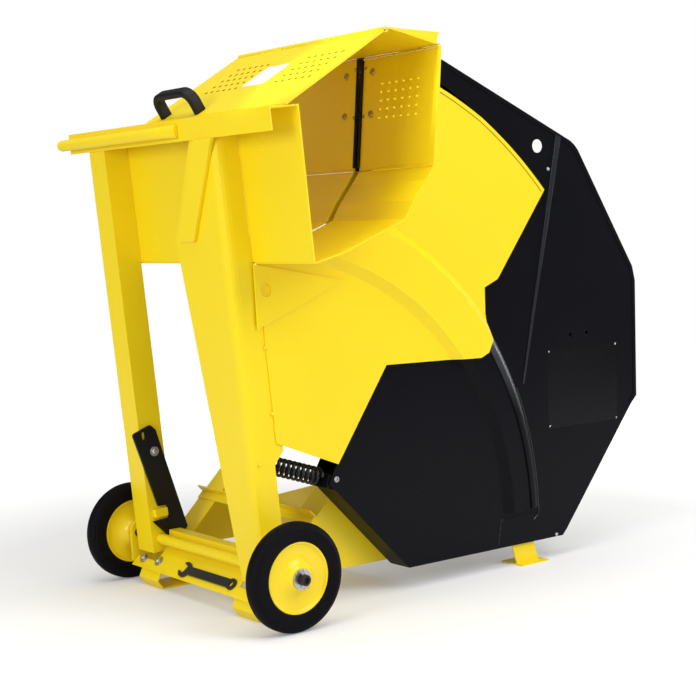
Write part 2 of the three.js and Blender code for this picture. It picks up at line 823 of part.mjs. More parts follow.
// Every corner of an outline moved outward by a small amount
function offsetOutline(points, amount) {
  let area = 0;
  points.forEach((p, i) => {
    const q = points[(i + 1) % points.length];
    area += p[0] * q[1] - q[0] * p[1];
  });
  const sign = area > 0 ? -1 : 1;
  return points.map((point, i) => {
    const here = new THREE.Vector2(...point);
    const into = here.clone().sub(new THREE.Vector2(...points[(i + points.length - 1) % points.length])).normalize();
    const from = new THREE.Vector2(...points[(i + 1) % points.length]).sub(here).normalize();
    const n1 = new THREE.Vector2(-into.y, into.x);
    const mitre = n1.clone().add(new THREE.Vector2(-from.y, from.x)).normalize();
    return here.addScaledVector(mitre, (sign * amount) / Math.max(mitre.dot(n1), 0.3)).toArray();
  });
}
buildNearPanels();

function buildFarPanel() {
  const hole = circle(spacerDiameter / 2 + seam * 4, arborY, arborZ);
  addPiece('casing_far', prismX(casingOutline(), casingLeftX, casingLeftX + sheet, [hole]), finishes.black);
}
buildFarPanel();

// Spring anchor: a block between the casing panels, its front face square to the spring
const springAxis = new THREE.Vector2(springHeadY - springSeatY, springHeadZ - springSeatZ).normalize();
const springSpan = Math.hypot(springHeadY - springSeatY, springHeadZ - springSeatZ);

function buildAnchor() {
  const across = new THREE.Vector2(springAxis.y, -springAxis.x);
  const seat = new THREE.Vector2(springSeatY, springSeatZ);
  const low = seat.clone().addScaledVector(across, -anchorBelow);
  const high = seat.clone().addScaledVector(across, anchorAbove);
  const wallInnerSum = casingSum + (sheet + seam) * Math.SQRT2;
  const outline = [
    low.toArray(), high.toArray(), [high.x + anchorDepth, high.y],
    [high.x + anchorDepth, wallInnerSum - high.x - anchorDepth],
    [wallInnerSum - casingWallTopZ - sheet, casingWallTopZ + sheet],
  ];
  addPiece('spring_anchor',
    prismX(outline, casingLeftX + sheet + seam, casingRightX - sheet - seam), finishes.black);
}
buildAnchor();

// Return spring: one unbroken wire from the anchor block to the seat on the guard leg
function buildSpring() {
  const steps = 8;
  const sides = 5;
  const radius = (springOuter - springWire) / 2;
  const startAt = springWire * 0.63 + springEndGap;
  const length = springSpan - springSeatLength - startAt * 2;
  const centreAt = (turn) => {
    const angle = turn * Math.PI * 2;
    return new THREE.Vector3(
      radius * Math.cos(angle), radius * Math.sin(angle), startAt + (length * turn) / springTurns);
  };
  const slope = new THREE.Vector3(0, Math.PI * 2 * radius, length / springTurns).normalize();
  const tangentAt = (turn) => slope.clone().applyAxisAngle(new THREE.Vector3(0, 0, 1), turn * Math.PI * 2);
  const stations = [{ turn: 0, shift: -springWire }];
  for (let i = 0; i <= springTurns * steps; i += 1) {
    stations.push({ turn: i / steps, shift: 0 });
  }
  stations.push({ turn: springTurns, shift: springWire });
  const rings = stations.map(({ turn, shift }) => {
    const tangent = tangentAt(turn);
    const centre = centreAt(turn).addScaledVector(tangent, shift);
    const outward = new THREE.Vector3(Math.cos(turn * Math.PI * 2), Math.sin(turn * Math.PI * 2), 0);
    const side = tangent.clone().cross(outward);
    const ring = [];
    for (let k = 0; k < sides; k += 1) {
      const angle = (k / sides) * Math.PI * 2;
      ring.push(centre.clone()
        .addScaledVector(outward, (springWire / 2) * Math.cos(angle))
        .addScaledVector(side, (springWire / 2) * Math.sin(angle)));
    }
    return ring;
  });
  reportLeastGap(rings, steps);
  const mesh = addPiece('return_spring', toGeometry(toManifold(skin(rings))), finishes.springSteel);
  mesh.position.set(springX, springSeatY, springSeatZ);
  mesh.rotation.x = -Math.atan2(springAxis.x, springAxis.y);
}

function reportLeastGap(rings, steps) {
  let least = Infinity;
  for (let i = 0; i < rings.length; i += 1) {
    for (let j = i + steps / 2; j < rings.length; j += 1) {
      for (const a of rings[i]) {
        for (const b of rings[j]) {
          least = Math.min(least, a.distanceTo(b));
        }
      }
    }
  }
  console.log(`return spring: ${springTurns} turns, least gap to itself ${least.toFixed(2)} mm`);
}
buildSpring();

// Motor behind the casing, on the arbor line
function buildMotor() {
  const flangeTo = casingLeftX - seam;
  const flangeFrom = flangeTo - motorFlangeThick;
  const bore = arborDiameter + runFit * 2;
  const flange = barX(motorFlangeDiameter, flangeFrom, flangeTo, arborY, arborZ, fineRound)
    .subtract(barX(bore, flangeFrom - overrun, flangeTo + overrun, arborY, arborZ));
  addPiece('motor_flange', flange, finishes.motor);
  const bodyTo = flangeFrom - seam;
  const bodyFrom = bodyTo - motorLength;
  const body = barX(motorDiameter, bodyFrom, bodyTo, arborY, arborZ, fineRound)
    .subtract(barX(bore, bodyTo - shaftInMotor - seam * 2, bodyTo + overrun, arborY, arborZ));
  addPiece('motor_body', body, finishes.motor);
  const cowlTo = bodyFrom - seam;
  const cowlFrom = cowlTo - fanCowlLength;
  const half = fanCowlDiameter / 2;
  const cowl = turnedX([
    [0, cowlTo], [half, cowlTo], [half, cowlFrom + sheet * 3], [half - sheet * 3, cowlFrom], [0, cowlFrom],
  ], arborY, arborZ);
  addPiece('fan_cowl', cowl, finishes.motor);
  return { bodyTo, middleX: (bodyFrom + bodyTo) / 2 };
}
const motorPlace = buildMotor();

// Switch box on the back of the motor, with a plug inlet below and two press buttons
function buildSwitch() {
  const faceY = arborY + motorDiameter / 2 + seam;
  const outY = faceY + switchDepth;
  const midX = motorPlace.middleX;
  const lowZ = arborZ - switchHeight / 2;
  let body = box(midX - switchWidth / 2, midX + switchWidth / 2, faceY, outY, lowZ, lowZ + switchHeight);
  const inletY = (faceY + outY) / 2;
  const inlet = barAlong(plugDiameter, [midX, inletY, lowZ - plugLength], [midX, inletY, lowZ + sheet]);
  const well = barAlong(plugDiameter - sheet * 2, [midX, inletY, lowZ - plugLength - overrun],
    [midX, inletY, lowZ - sheet]);
  body = body.add(inlet).subtract(well);
  const buttons = [['start_button', finishes.green, 1], ['stop_button', finishes.red, -1]];
  for (const [name, finish, side] of buttons) {
    const z = arborZ + (side * buttonSpacing) / 2;
    const depth = buttonHeight * 2;
    const socket = barAlong(buttonDiameter + runFit * 2,
      [midX, outY - depth - buttonTravel - seam * 2, z], [midX, outY + overrun, z]);
    body = body.subtract(socket);
    const button = barAlong(buttonDiameter, [midX, outY - depth, z], [midX, outY + buttonHeight, z]);
    addPiece(name, button, finish);
  }
  addPiece('switch_box', body, finishes.plastic);
}
buildSwitch();

// Blade between two flanges on the motor shaft
function buildBlade() {
  const points = [];
  const radius = bladeDiameter / 2;
  for (let i = 0; i < bladeTeeth; i += 1) {
    const step = (Math.PI * 2) / bladeTeeth;
    const at = i * step;
    const place = (r, share) => [
      arborY + r * Math.cos(at + step * share), arborZ + r * Math.sin(at + step * share)];
    points.push(place(radius, 0), place(radius - toothDepth * 0.3, 0.3), place(radius - toothDepth, 0.85));
  }
  const hole = circle(arborDiameter / 2 + seam, arborY, arborZ);
  const fromX = bladeX - bladeThick / 2;
  addPiece('saw_blade', prismX(points, fromX, fromX + bladeThick, [hole]), finishes.bladeSteel);
  const ring = (name, from) => {
    const disc = barX(flangeDiameter, from, from + flangeThick, arborY, arborZ, fineRound);
    const bore = barX(arborDiameter + seam * 2, from - overrun, from + flangeThick + overrun, arborY, arborZ);
    addPiece(name, disc.subtract(bore), finishes.zinc);
  };
  const innerFrom = fromX - seam - flangeThick;
  const outerFrom = fromX + bladeThick + seam;
  ring('inner_flange', innerFrom);
  ring('outer_flange', outerFrom);
  const nutFrom = outerFrom + flangeThick + seam;
  const nut = barX(arborNutAcross, nutFrom, nutFrom + arborNutThick, arborY, arborZ, 6);
  const tail = nutFrom + arborNutThick + shaftTail;
  const nutBore = barX(arborDiameter + seam * 2, nutFrom - overrun, tail + overrun, arborY, arborZ);
  addPiece('arbor_nut', nut.subtract(nutBore), finishes.zinc);
  const shaft = barX(arborDiameter, motorPlace.bodyTo - shaftInMotor, tail, arborY, arborZ)
    .add(barX(spacerDiameter, casingLeftX + seam, innerFrom - seam, arborY, arborZ));
  addPiece('blade_shaft', shaft, finishes.zinc);
}
buildBlade();

// Wrench kept on the sloped cross plate: an open jaw at its left end, a ring at its right end
function buildWrench() {
  const jawX = (wrenchJaw - wrenchLength) / 2;
  const ringX = (wrenchLength - wrenchRing) / 2;
  const disc = (diameter, x, thick) => {
    const shape = new THREE.CylinderGeometry(diameter / 2, diameter / 2, thick, round);
    shape.rotateX(Math.PI / 2);
    shape.translate(x, 0, 0);
    return toManifold(shape);
  };
  const bar = new THREE.BoxGeometry(ringX - jawX, wrenchHandle, wrenchThick);
  bar.translate((ringX + jawX) / 2, 0, 0);
  const mouth = new THREE.BoxGeometry(wrenchJaw, wrenchMouth, wrenchThick * 2);
  mouth.translate(wrenchMouthDepth - wrenchJaw, 0, 0);
  mouth.rotateZ(-THREE.MathUtils.degToRad(wrenchMouthDegrees));
  mouth.translate(jawX, 0, 0);
  const flat = toManifold(bar)
    .add(disc(wrenchJaw, jawX, wrenchThick))
    .add(disc(wrenchRing, ringX, wrenchThick))
    .subtract(toManifold(mouth))
    .subtract(disc(wrenchRingHole, ringX, wrenchThick * 2));
  const mesh = addPiece('wrench', flat, finishes.zinc);
  const lift = (wrenchThick / 2 + seam) / Math.SQRT2;
  mesh.position.set(wrenchMiddleX, wrenchMiddleY - lift, wrenchMiddleY + slopeRise + lift);
  mesh.rotation.x = Math.PI / 4;
}
buildWrench();

// Cradle, drawn upright about its pivot and hung in the tilted group
const addCradle = (name, shape, finish) => addPiece(name, shape, finish, cradle);
const tubeSleeve = pivotTubeDiameter + seam * 2;

function buildLeftLeg() {
  const outer = box(cradleLeftX, legRightX, legFrontY, legBackY, -legDrop, legTopZ);
  const inner = box(cradleLeftX + legWall, legRightX - legWall, legFrontY + legWall, legBackY - legWall,
    -legDrop - overrun, legTopZ + overrun);
  const sleeve = barX(tubeSleeve, cradleLeftX - overrun, legRightX + overrun, 0, 0);
  const shankHole = barX(latchShankDiameter + seam * 2, legRightX - legWall * 2, legRightX + overrun,
    latchPivotY, latchPivotZ);
  const tab = box(legRightX - sheet, legRightX + tabReach, tabFrontY, tabBackY, tabLowZ, tabHighZ);
  const inside = box(cradleLeftX + legWall, legRightX - legWall, legFrontY, legBackY, 0, legTopZ);
  addCradle('left_leg', outer.subtract(inner).subtract(sleeve).subtract(shankHole).add(tab.subtract(inside)),
    finishes.yellow);
}
buildLeftLeg();

// Guard leg: a folded channel that hides the front of the blade
function buildGuardLeg() {
  const web = [
    [guardLegBottomLeftX, -legDrop], [guardLegRightX, -legDrop], [guardLegRightX, legTopZ],
    [guardLegTopLeftX, legTopZ], [guardLegTopLeftX, panelTopZ - beamHeight], [guardLegBroadLeftX, guardLegBroadZ],
  ];
  const wall = [
    [legFrontY, -legDrop], [legBackY, -legDrop], [legBackY, guardLegWideFromZ],
    [guardLegBackY, guardLegWideFromZ + guardLegBackY - legBackY],
    [guardLegBackY, panelBottomZ - guardLegBackY + legBackY], [legBackY, panelBottomZ - seam],
    [legBackY, legTopZ], [legFrontY, legTopZ],
  ];
  const fold = guardLegFoldRadius;
  const path = rounded([
    [guardLegBroadLeftX, legFrontY], [guardLegRightX, legFrontY], [guardLegRightX, guardLegBackY],
  ], [0, fold, 0], 5);
  const channel = prismZ(ribbon(path, sheet), -legDrop, legTopZ);
  const face = prismY(web, legFrontY - sheet, legFrontY + fold);
  const side = prismX(wall, guardLegRightX - fold, guardLegRightX + sheet);
  const edge = [[guardLegBottomLeftX, -legDrop], [guardLegBroadLeftX, guardLegBroadZ],
    [guardLegTopLeftX, panelTopZ - beamHeight]];
  const returned = prismY(ribbon(edge, -sheet), legFrontY, legFrontY + guardLegReturn);
  const leftOf = box(guardLegBroadLeftX - overrun, guardLegRightX - fold, legFrontY - overrun,
    legFrontY + fold, -legDrop - overrun, legTopZ + overrun);
  const sleeve = barX(tubeSleeve, guardLegBroadLeftX, guardLegRightX + overrun, 0, 0);
  const shape = channel.intersect(face).add(channel.intersect(side).subtract(leftOf)).add(returned);
  addCradle('guard_leg', shape.add(springSeat()).subtract(sleeve), finishes.yellow);
}

// Round seat on the web of the guard leg, square to the spring
function springSeat() {
  const toWorld = (along) => [springX, springSeatY + springAxis.x * along, springSeatZ + springAxis.y * along];
  const stub = toGeometry(barAlong(springOuter + sheet * 2, toWorld(springSpan - springSeatLength),
    toWorld(springSpan + springOuter)));
  cradle.updateMatrixWorld(true);
  stub.applyMatrix4(cradle.matrixWorld.clone().invert());
  const front = box(springX - springOuter * 2, springX + springOuter * 2, legFrontY - springOuter * 3,
    legFrontY + sheet / 2, 0, panelBottomZ);
  return toManifold(stub).subtract(front);
}
buildGuardLeg();

function buildPivotTube() {
  const outer = barX(pivotTubeDiameter, cradleLeftX, guardLegRightX, 0, 0);
  const bore = barX(pivotPinDiameter + runFit * 2, cradleLeftX - overrun, guardLegRightX + overrun, 0, 0);
  addCradle('pivot_tube', outer.subtract(bore), finishes.yellow);
}
buildPivotTube();

// Trough: a front panel folded into the top beam, a bent floor in two halves and a back wall
const slotLeftX = bladeX - bladeSlotWidth / 2;
const slotRightX = bladeX + bladeSlotWidth / 2;
const panelBackY = panelFrontY + sheet;
const lipFrontY = legFrontY - seam - sheet;

function buildFrontPanel() {
  const panel = prismX(ribbon([[panelBackY, panelBottomZ], [panelBackY, panelTopZ],
    [panelFrontY - sheet, panelTopZ]], sheet), cradleLeftX, cradleRightX);
  const beam = prismX(ribbon([[panelBackY, panelTopZ], [lipFrontY, panelTopZ],
    [lipFrontY, panelTopZ - beamHeight]], sheet), beamLeftX, cradleRightX - beamEndInset);
  const slot = box(slotLeftX, slotRightX, panelFrontY - overrun, panelBackY + overrun,
    panelBottomZ - overrun, panelBottomZ + frontSlotHeight);
  addCradle('front_panel', panel.add(beam).subtract(slot), finishes.yellow);
}
buildFrontPanel();

const floorPath = [
  [panelBackY + seam, panelBottomZ - seam], [floorFrontY, floorFrontZ], [floorBackY, floorBackZ],
  [floorKneeY, floorKneeZ], [floorRiseY, floorRiseZ], [backWallLowY - seam * 2, backWallLowZ - seam * 2],
];
const floorSection = ribbon(floorPath, -sheet);
addCradle('trough_floor_left', prismX(floorSection, cradleLeftX, slotLeftX), finishes.yellow);
addCradle('trough_floor_right', prismX(floorSection, slotRightX, cradleRightX), finishes.yellow);

const wallRun = new THREE.Vector2(backWallTopY - backWallLowY, backWallTopZ - backWallLowZ).normalize();
const wallSpan = Math.hypot(backWallTopY - backWallLowY, backWallTopZ - backWallLowZ);
const wallPoint = (along, out) => [
  backWallLowY + wallRun.x * along + wallRun.y * out, backWallLowZ + wallRun.y * along - wallRun.x * out];

function buildBackWall() {
  const section = [wallPoint(0, 0), wallPoint(wallSpan, 0), wallPoint(wallSpan, sheet), wallPoint(0, sheet)];
  const slotSection = [
    wallPoint(-overrun, -overrun), wallPoint(wallSpan - backSlotHeadroom, -overrun),
    wallPoint(wallSpan - backSlotHeadroom, overrun), wallPoint(-overrun, overrun)];
  const edge = [wallPoint(0, sheet / 2), wallPoint(wallSpan, sheet / 2),
    wallPoint(wallSpan, wallFlange), wallPoint(0, wallFlange)];
  const wall = prismX(section, cradleLeftX, cradleRightX)
    .subtract(prismX(slotSection, slotLeftX, slotRightX))
    .add(prismX(edge, cradleRightX - sheet, cradleRightX));
  addCradle('back_wall', wall, finishes.yellow);
}
buildBackWall();

// Black strip that lines the blade slot inside the trough
function buildLiner() {
  const top = wallSpan - seam;
  const section = [wallPoint(top - linerHeight, -linerThick - seam), wallPoint(top, -linerThick - seam),
    wallPoint(top, -seam), wallPoint(top - linerHeight, -seam)];
  const slotSection = [
    wallPoint(-overrun, -overrun), wallPoint(wallSpan - backSlotHeadroom, -overrun),
    wallPoint(wallSpan - backSlotHeadroom, overrun), wallPoint(-overrun, overrun)];
  const strip = prismX(section, bladeX - linerWidth / 2, bladeX + linerWidth / 2)
    .subtract(prismX(slotSection, bladeX - linerGap / 2, bladeX + linerGap / 2));
  addCradle('slot_liner', strip, finishes.plastic);
}
buildLiner();

// Hood: a fixed rear slope, a lid hinged at the ridge and the pin through their knuckles
const knuckleLength = (cradleRightX - hoodLeftX) / knuckleCount;

function knuckles(parity, diameter, margin) {
  let bars = null;
  for (let i = parity; i < knuckleCount; i += 2) {
    const from = hoodLeftX + i * knuckleLength;
    const bar = barX(diameter, from - margin, from + knuckleLength + margin, ridgeY, ridgeZ);
    bars = bars ? bars.add(bar) : bar;
  }
  return bars;
}

function hingedSheet(section, parity) {
  const bore = barX(hingePinDiameter + runFit * 2, hoodLeftX - overrun, cradleRightX + overrun, ridgeY, ridgeZ);
  const reach = hingeKnuckleRadius * 2;
  return prismX(section, hoodLeftX, cradleRightX)
    .subtract(knuckles(1 - parity, reach + seam * 4, seam))
    .add(knuckles(parity, reach, -seam))
    .subtract(bore);
}

const lidTop = [ridgeY - sheet * 0.7, ridgeZ + sheet / 3];
const lidRun = new THREE.Vector2(lidTop[0] - hoodFrontY, lidTop[1] - hoodFrontZ).normalize();

function buildHood() {
  const rear = ribbon([
    [ridgeY + sheet, ridgeZ + sheet], [ridgeY + sheet * 4, ridgeZ + sheet],
    [backWallTopY - sheet * 3, backWallTopZ + sheet * 2], [backWallTopY + sheet, backWallTopZ + sheet + seam],
  ], -sheet);
  const cheek = [
    [ridgeY + sheet * 2, ridgeZ + sheet / 2], [ridgeY + sheet * 2, ridgeZ + sheet],
    [backWallTopY + sheet, backWallTopZ + cheekRise], [backWallTopY - sheet * 2, backWallTopZ + sheet],
  ];
  const cheekPlate = prismX(cheek, cradleRightX - sheet, cradleRightX);
  addCradle('hood_rear', hingedSheet(rear, 0).add(cheekPlate), finishes.yellow);
  const pin = barX(hingePinDiameter, hoodLeftX, cradleRightX, ridgeY, ridgeZ);
  addCradle('hinge_pin', pin, finishes.zinc);
  const lid = ribbon([[hoodFrontY, hoodFrontZ], lidTop], -sheet);
  addCradle('hood_lid', hingedSheet(lid, 1), finishes.yellow);
}
buildHood();

function buildBowHandle() {
  const half = bowHandleLength / 2 + bowHandleThick / 2;
  const inner = half - bowHandleThick;
  const outline = rounded(
    [[-half, 0], [half, 0], [half, bowHandleRise], [-half, bowHandleRise]],
    [0, 0, bowHandleWidth, bowHandleWidth]);
  const hole = rounded(
    [[-inner, -overrun], [inner, -overrun], [inner, bowHandleRise - bowHandleThick],
      [-inner, bowHandleRise - bowHandleThick]],
    [0, 0, bowHandleThick, bowHandleThick]);
  const bow = prismY(outline, -bowHandleWidth / 2, bowHandleWidth / 2)
    .subtract(prismY(hole, -bowHandleWidth, bowHandleWidth));
  const mesh = addCradle('lid_handle', bow, finishes.plastic);
  mesh.position.set(bowHandleCentreX, hoodFrontY + lidRun.x * bowHandleUp - lidRun.y * seam,
    hoodFrontZ + lidRun.y * bowHandleUp + lidRun.x * seam);
  mesh.rotation.x = Math.atan2(lidRun.y, lidRun.x);
}
buildBowHandle();

// Push handle along the beam, its left end rounded and its right end tapered onto the beam
function buildPushHandle() {
  const radius = handleTubeDiameter / 2;
  const y = lipFrontY - seam - radius;
  const profile = [[0, handleTubeLeftX]];
  const roundSteps = 5;
  for (let i = 1; i <= roundSteps; i += 1) {
    const angle = (i / roundSteps) * (Math.PI / 2);
    profile.push([radius * Math.sin(angle), handleTubeLeftX + radius - radius * Math.cos(angle)]);
  }
  profile.push([radius, handleTubeRightX - radius], [radius / 2, handleTubeRightX], [0, handleTubeRightX]);
  addCradle('push_handle', turnedX(profile, y, handleTubeZ, round), finishes.yellow);
}
buildPushHandle();

// Flat strut that braces the beam against the guard leg
function buildStrut() {
  const top = panelTopZ - beamHeight - seam;
  const outline = rounded([
    [strutTopX - strutWidth / 2, top], [strutTopX + strutWidth / 2, top],
    [strutLowX + strutWidth / 2, guardLegBroadZ], [strutLowX - strutWidth / 2, guardLegBroadZ],
  ], [0, 0, strutThick, strutThick], 3);
  const backY = legFrontY - seam;
  addCradle('beam_strut', prismY(outline, backY - strutThick, backY), finishes.yellow);
}
buildStrut();

// Guard plates that hang under the trough and ride with it beside the blade
function guardEdge() {
  const under = ribbon(floorPath, -sheet - seam).slice(floorPath.length).reverse();
  const behind = [wallPoint(0, sheet + seam), wallPoint(wallSpan, sheet + seam)];
  return [...under, ...behind];
}

// Rim of both guard plates about the pivot, drawn in towards its top end
function guardRim() {
  const steps = 8;
  const points = [];
  for (let i = 0; i <= steps; i += 1) {
    const degrees = guardTopDegrees + ((guardRightDegrees - guardTopDegrees) * i) / steps;
    const share = Math.max(0, (guardFullDegrees - degrees) / (guardFullDegrees - guardTopDegrees));
    points.push(cradlePolar(guardRadius - guardTopInset * share, degrees));
  }
  return points;
}

function buildNearGuard() {
  const sampleShares = [
    [0.774, 48.6], [0.736, 47.6], [0.701, 50.9], [0.679, 54.7], [0.651, 56], [0.628, 55.6],
    [0.4545, 38], [0.2378, 41.1],
  ];
  const rest = sampleShares.map((share) => cradlePolar(share[0] * guardRadius, share[1]));
  const outline = [
    [nearGuardEdgeY, nearGuardLowZ],
    [nearGuardEdgeY, panelBottomZ - seam - sheet * 1.3], ...guardEdge().slice(1),
    ...guardRim(), ...rest,
  ];
  const mask = (from, to) => prismX(outline, from, to);
  addCradle('near_guard', bulgedSheet(mask, nearGuardX, guardBulgeInner, guardBulgeOuter,
    cradleTiltDegrees - 3, guardRightDegrees + cradleTiltDegrees * 3, true), finishes.yellow);
}
buildNearGuard();

function buildFarGuard() {
  const outline = [
    cradlePolar(farGuardInner, guardTopDegrees), ...guardEdge().slice(2),
    ...guardRim(),
    ...cradleArc(arborRadiusFromPivot + arborSlotHalf, guardRightDegrees, arborSlotFromDegrees, 8),
    ...cradleArc(arborRadiusFromPivot - arborSlotHalf, arborSlotFromDegrees, guardRightDegrees, 8),
    ...cradleArc(farGuardInner, guardRightDegrees, guardTopDegrees + 1, 8),
  ];
  addCradle('far_guard', prismX(outline, farGuardX, farGuardX + sheet), finishes.yellow);
}
buildFarGuard();

// Gusset on the near guard, under the front of the trough
function buildGusset() {
  const outline = [
    [panelFrontY - sheet, panelBottomZ - sheet], [gussetLowY, gussetLowZ],
    polar(guardBulgeInner - gussetBackInset, gussetBackDegrees),
  ];
  const hole = circle(gussetHoleDiameter / 2, gussetHoleY, gussetHoleZ);
  const fromX = nearGuardX + sheet + seam;
  addCradle('gusset', prismX(outline, fromX, fromX + sheet, [hole]), finishes.yellow);
}
buildGusset();

// Latch hook on the left leg, with its shouldered bolt
function buildLatch() {
  const shares = [
    [-0.25, 0.239], [-0.011, 0.306], [0.05, 0.239], [0.317, -0.944], [0.278, -0.994], [0.056, -1],
    [-0.122, -0.794], [0.089, -0.794], [0.078, -0.639], [-0.033, -0.633],
  ];
  const outline = shares.map((share) => [latchPivotY + share[0] * latchReach, latchPivotZ + share[1] * latchReach]);
  const bore = circle(latchShankDiameter / 2 + runFit, latchPivotY, latchPivotZ);
  const keyhole = circle(latchThick, latchPivotY - latchBoltDiameter, latchPivotZ + latchReach / 5, round / 2);
  const hookFrom = legRightX + seam;
  const hookTo = hookFrom + latchThick;
  addCradle('latch_hook', prismX(outline, hookFrom, hookTo, [bore, keyhole]), finishes.black);
  const shank = barX(latchShankDiameter, legRightX - legWall, hookTo + seam * 2, latchPivotY, latchPivotZ);
  const head = barX(latchBoltDiameter, hookTo + seam, hookTo + seam + latchBoltThick, latchPivotY, latchPivotZ);
  addCradle('latch_bolt', shank.add(head), finishes.zinc);
}
buildLatch();

// The finished object stands on the ground, centred over it
object.updateMatrixWorld(true);
const bounds = new THREE.Box3().setFromObject(object, true);
const middle = bounds.getCenter(new THREE.Vector3());
object.position.set(-middle.x, -middle.y, -bounds.min.z);
object.updateMatrixWorld(true);
const placed = new THREE.Box3().setFromObject(object, true);
const size = placed.getSize(new THREE.Vector3());
console.log(`size ${size.x.toFixed(1)} x ${size.y.toFixed(1)} x ${size.z.toFixed(1)} mm`);

export default object;
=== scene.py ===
import math

import bpy
from mathutils import Matrix, Vector
from mathutils.geometry import tessellate_polygon


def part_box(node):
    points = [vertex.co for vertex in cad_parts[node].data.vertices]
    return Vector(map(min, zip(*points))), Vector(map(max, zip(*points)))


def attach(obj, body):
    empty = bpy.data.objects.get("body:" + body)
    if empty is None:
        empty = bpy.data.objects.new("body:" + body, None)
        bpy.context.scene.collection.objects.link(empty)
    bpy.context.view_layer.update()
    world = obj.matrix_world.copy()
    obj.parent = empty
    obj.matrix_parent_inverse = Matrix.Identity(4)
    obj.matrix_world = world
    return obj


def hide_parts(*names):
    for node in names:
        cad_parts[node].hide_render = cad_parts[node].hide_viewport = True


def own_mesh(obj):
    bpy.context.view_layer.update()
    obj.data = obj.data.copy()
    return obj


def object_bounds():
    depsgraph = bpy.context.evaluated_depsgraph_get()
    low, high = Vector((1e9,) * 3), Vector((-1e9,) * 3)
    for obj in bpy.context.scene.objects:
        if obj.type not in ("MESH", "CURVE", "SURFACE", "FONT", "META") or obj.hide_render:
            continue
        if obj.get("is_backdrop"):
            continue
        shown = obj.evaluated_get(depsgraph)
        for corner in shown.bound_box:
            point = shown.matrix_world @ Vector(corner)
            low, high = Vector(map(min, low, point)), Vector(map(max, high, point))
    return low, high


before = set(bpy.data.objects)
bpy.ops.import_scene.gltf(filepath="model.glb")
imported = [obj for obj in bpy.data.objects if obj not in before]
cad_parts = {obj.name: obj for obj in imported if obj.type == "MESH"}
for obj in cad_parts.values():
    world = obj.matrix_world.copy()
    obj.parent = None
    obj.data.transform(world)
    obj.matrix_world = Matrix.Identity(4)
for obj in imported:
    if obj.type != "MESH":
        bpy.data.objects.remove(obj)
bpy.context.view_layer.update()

MM = 0.001
tyre_low, tyre_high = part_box("tyre_right")
origin = Vector(((tyre_low.x + tyre_high.x) / 2, (tyre_low.y + tyre_high.y) / 2, 0))


def at(x, y, z):
    """A point of the drawing, in the frame's metres."""
    return origin + Vector((x, y, z)) * MM


CAMERA_SPOT = (2083, -1493, 716)
FILM_WIDTH = 36
LENS_LENGTH = 75.31
NEAREST_SEEN = 0.05
camera = bpy.data.objects.new("camera", bpy.data.cameras.new("camera"))
bpy.context.scene.collection.objects.link(camera)
view_right = Vector((0.61727, 0.78632, -0.02609))
view_up = Vector((-0.04759, 0.07042, 0.99638))
view_back = view_right.cross(view_up)
camera.matrix_world = Matrix.Translation(at(*CAMERA_SPOT)) @ Matrix(
    (view_right, view_up, view_back)).transposed().to_4x4()
camera.data.sensor_width = FILM_WIDTH
camera.data.lens = LENS_LENGTH
camera.data.clip_start = NEAREST_SEEN
bpy.context.scene.camera = camera

# Powder coat
# Nearly every sheet part is folded from 3 mm steel and powder coated: bright yellow on the frame,
# cradle and hood, black on the blade casing and the hook. The coat is smooth with a faint orange
# peel, a little dust in patches and thin lighter lines along the folded edges, which are partly
# rubbed wear and partly painted highlight.


class Wire:
    """One socket in a material; arithmetic on wires adds Math nodes."""

    def __init__(self, tree, socket=None):
        self.tree = tree
        self.socket = socket

    def add(self, kind, settings=None, sockets=None, output=0):
        node = self.tree.nodes.new(kind)
        for key, value in (settings or {}).items():
            if key == "stops":
                for _ in value[2:]:
                    node.color_ramp.elements.new(0.5)
                for stop, (place, shade) in zip(node.color_ramp.elements, value):
                    stop.position = place
                    stop.color = (shade, shade, shade, 1)
            else:
                setattr(node, key, value)
        for key, value in (sockets or {}).items():
            if isinstance(value, Wire):
                self.tree.links.new(value.socket, node.inputs[key])
            else:
                node.inputs[key].default_value = value
        return Wire(self.tree, node.outputs[output] if node.outputs else None)

    def math(self, operation, first, second):
        return self.add("ShaderNodeMath", {"operation": operation}, {0: first, 1: second})

    def __add__(self, other):
        return self.math("ADD", self, other)

    def __radd__(self, other):
        return self.math("ADD", other, self)

    def __sub__(self, other):
        return self.math("SUBTRACT", self, other)

    def __rsub__(self, other):
        return self.math("SUBTRACT", other, self)

    def __mul__(self, other):
        return self.math("MULTIPLY", self, other)

    def __rmul__(self, other):
        return self.math("MULTIPLY", other, self)

    def mix(self, first, second):
        """This value as the share of the second colour."""
        return self.add("ShaderNodeMix", {"data_type": "RGBA"}, {0: self, 6: first, 7: second}, 2)


def open_material(name):
    material = bpy.data.materials.new(name)
    material.use_nodes = True
    material.node_tree.nodes.clear()
    return material, Wire(material.node_tree)


def close_material(material, tree, sockets):
    surface = tree.add("ShaderNodeBsdfPrincipled", None, sockets)
    tree.add("ShaderNodeOutputMaterial", None, {"Surface": surface})
    return material


def rgb(red, green, blue):
    return (red, green, blue, 1)


def noise(tree, place, scale, detail=2.0, rough=0.5):
    return tree.add("ShaderNodeTexNoise", None,
                    {"Vector": place, "Scale": scale, "Detail": detail, "Roughness": rough})


def ramp(tree, value, low, high):
    """0 below the low value, 1 above the high one."""
    return tree.add("ShaderNodeMapRange", None, {"Value": value, "From Min": low, "From Max": high})


def object_place(tree):
    return tree.add("ShaderNodeTexCoord", None, None, 3)


def edge_mask(tree, radius):
    """1 along edges and corners, 0 on open faces."""
    softened = tree.add("ShaderNodeBevel", {"samples": 4}, {"Radius": radius})
    plain = tree.add("ShaderNodeNewGeometry", None, None, 1)
    along = tree.add("ShaderNodeVectorMath", {"operation": "DOT_PRODUCT"}, {0: softened, 1: plain}, 1)
    return ramp(tree, along, 0.995, 0.9)


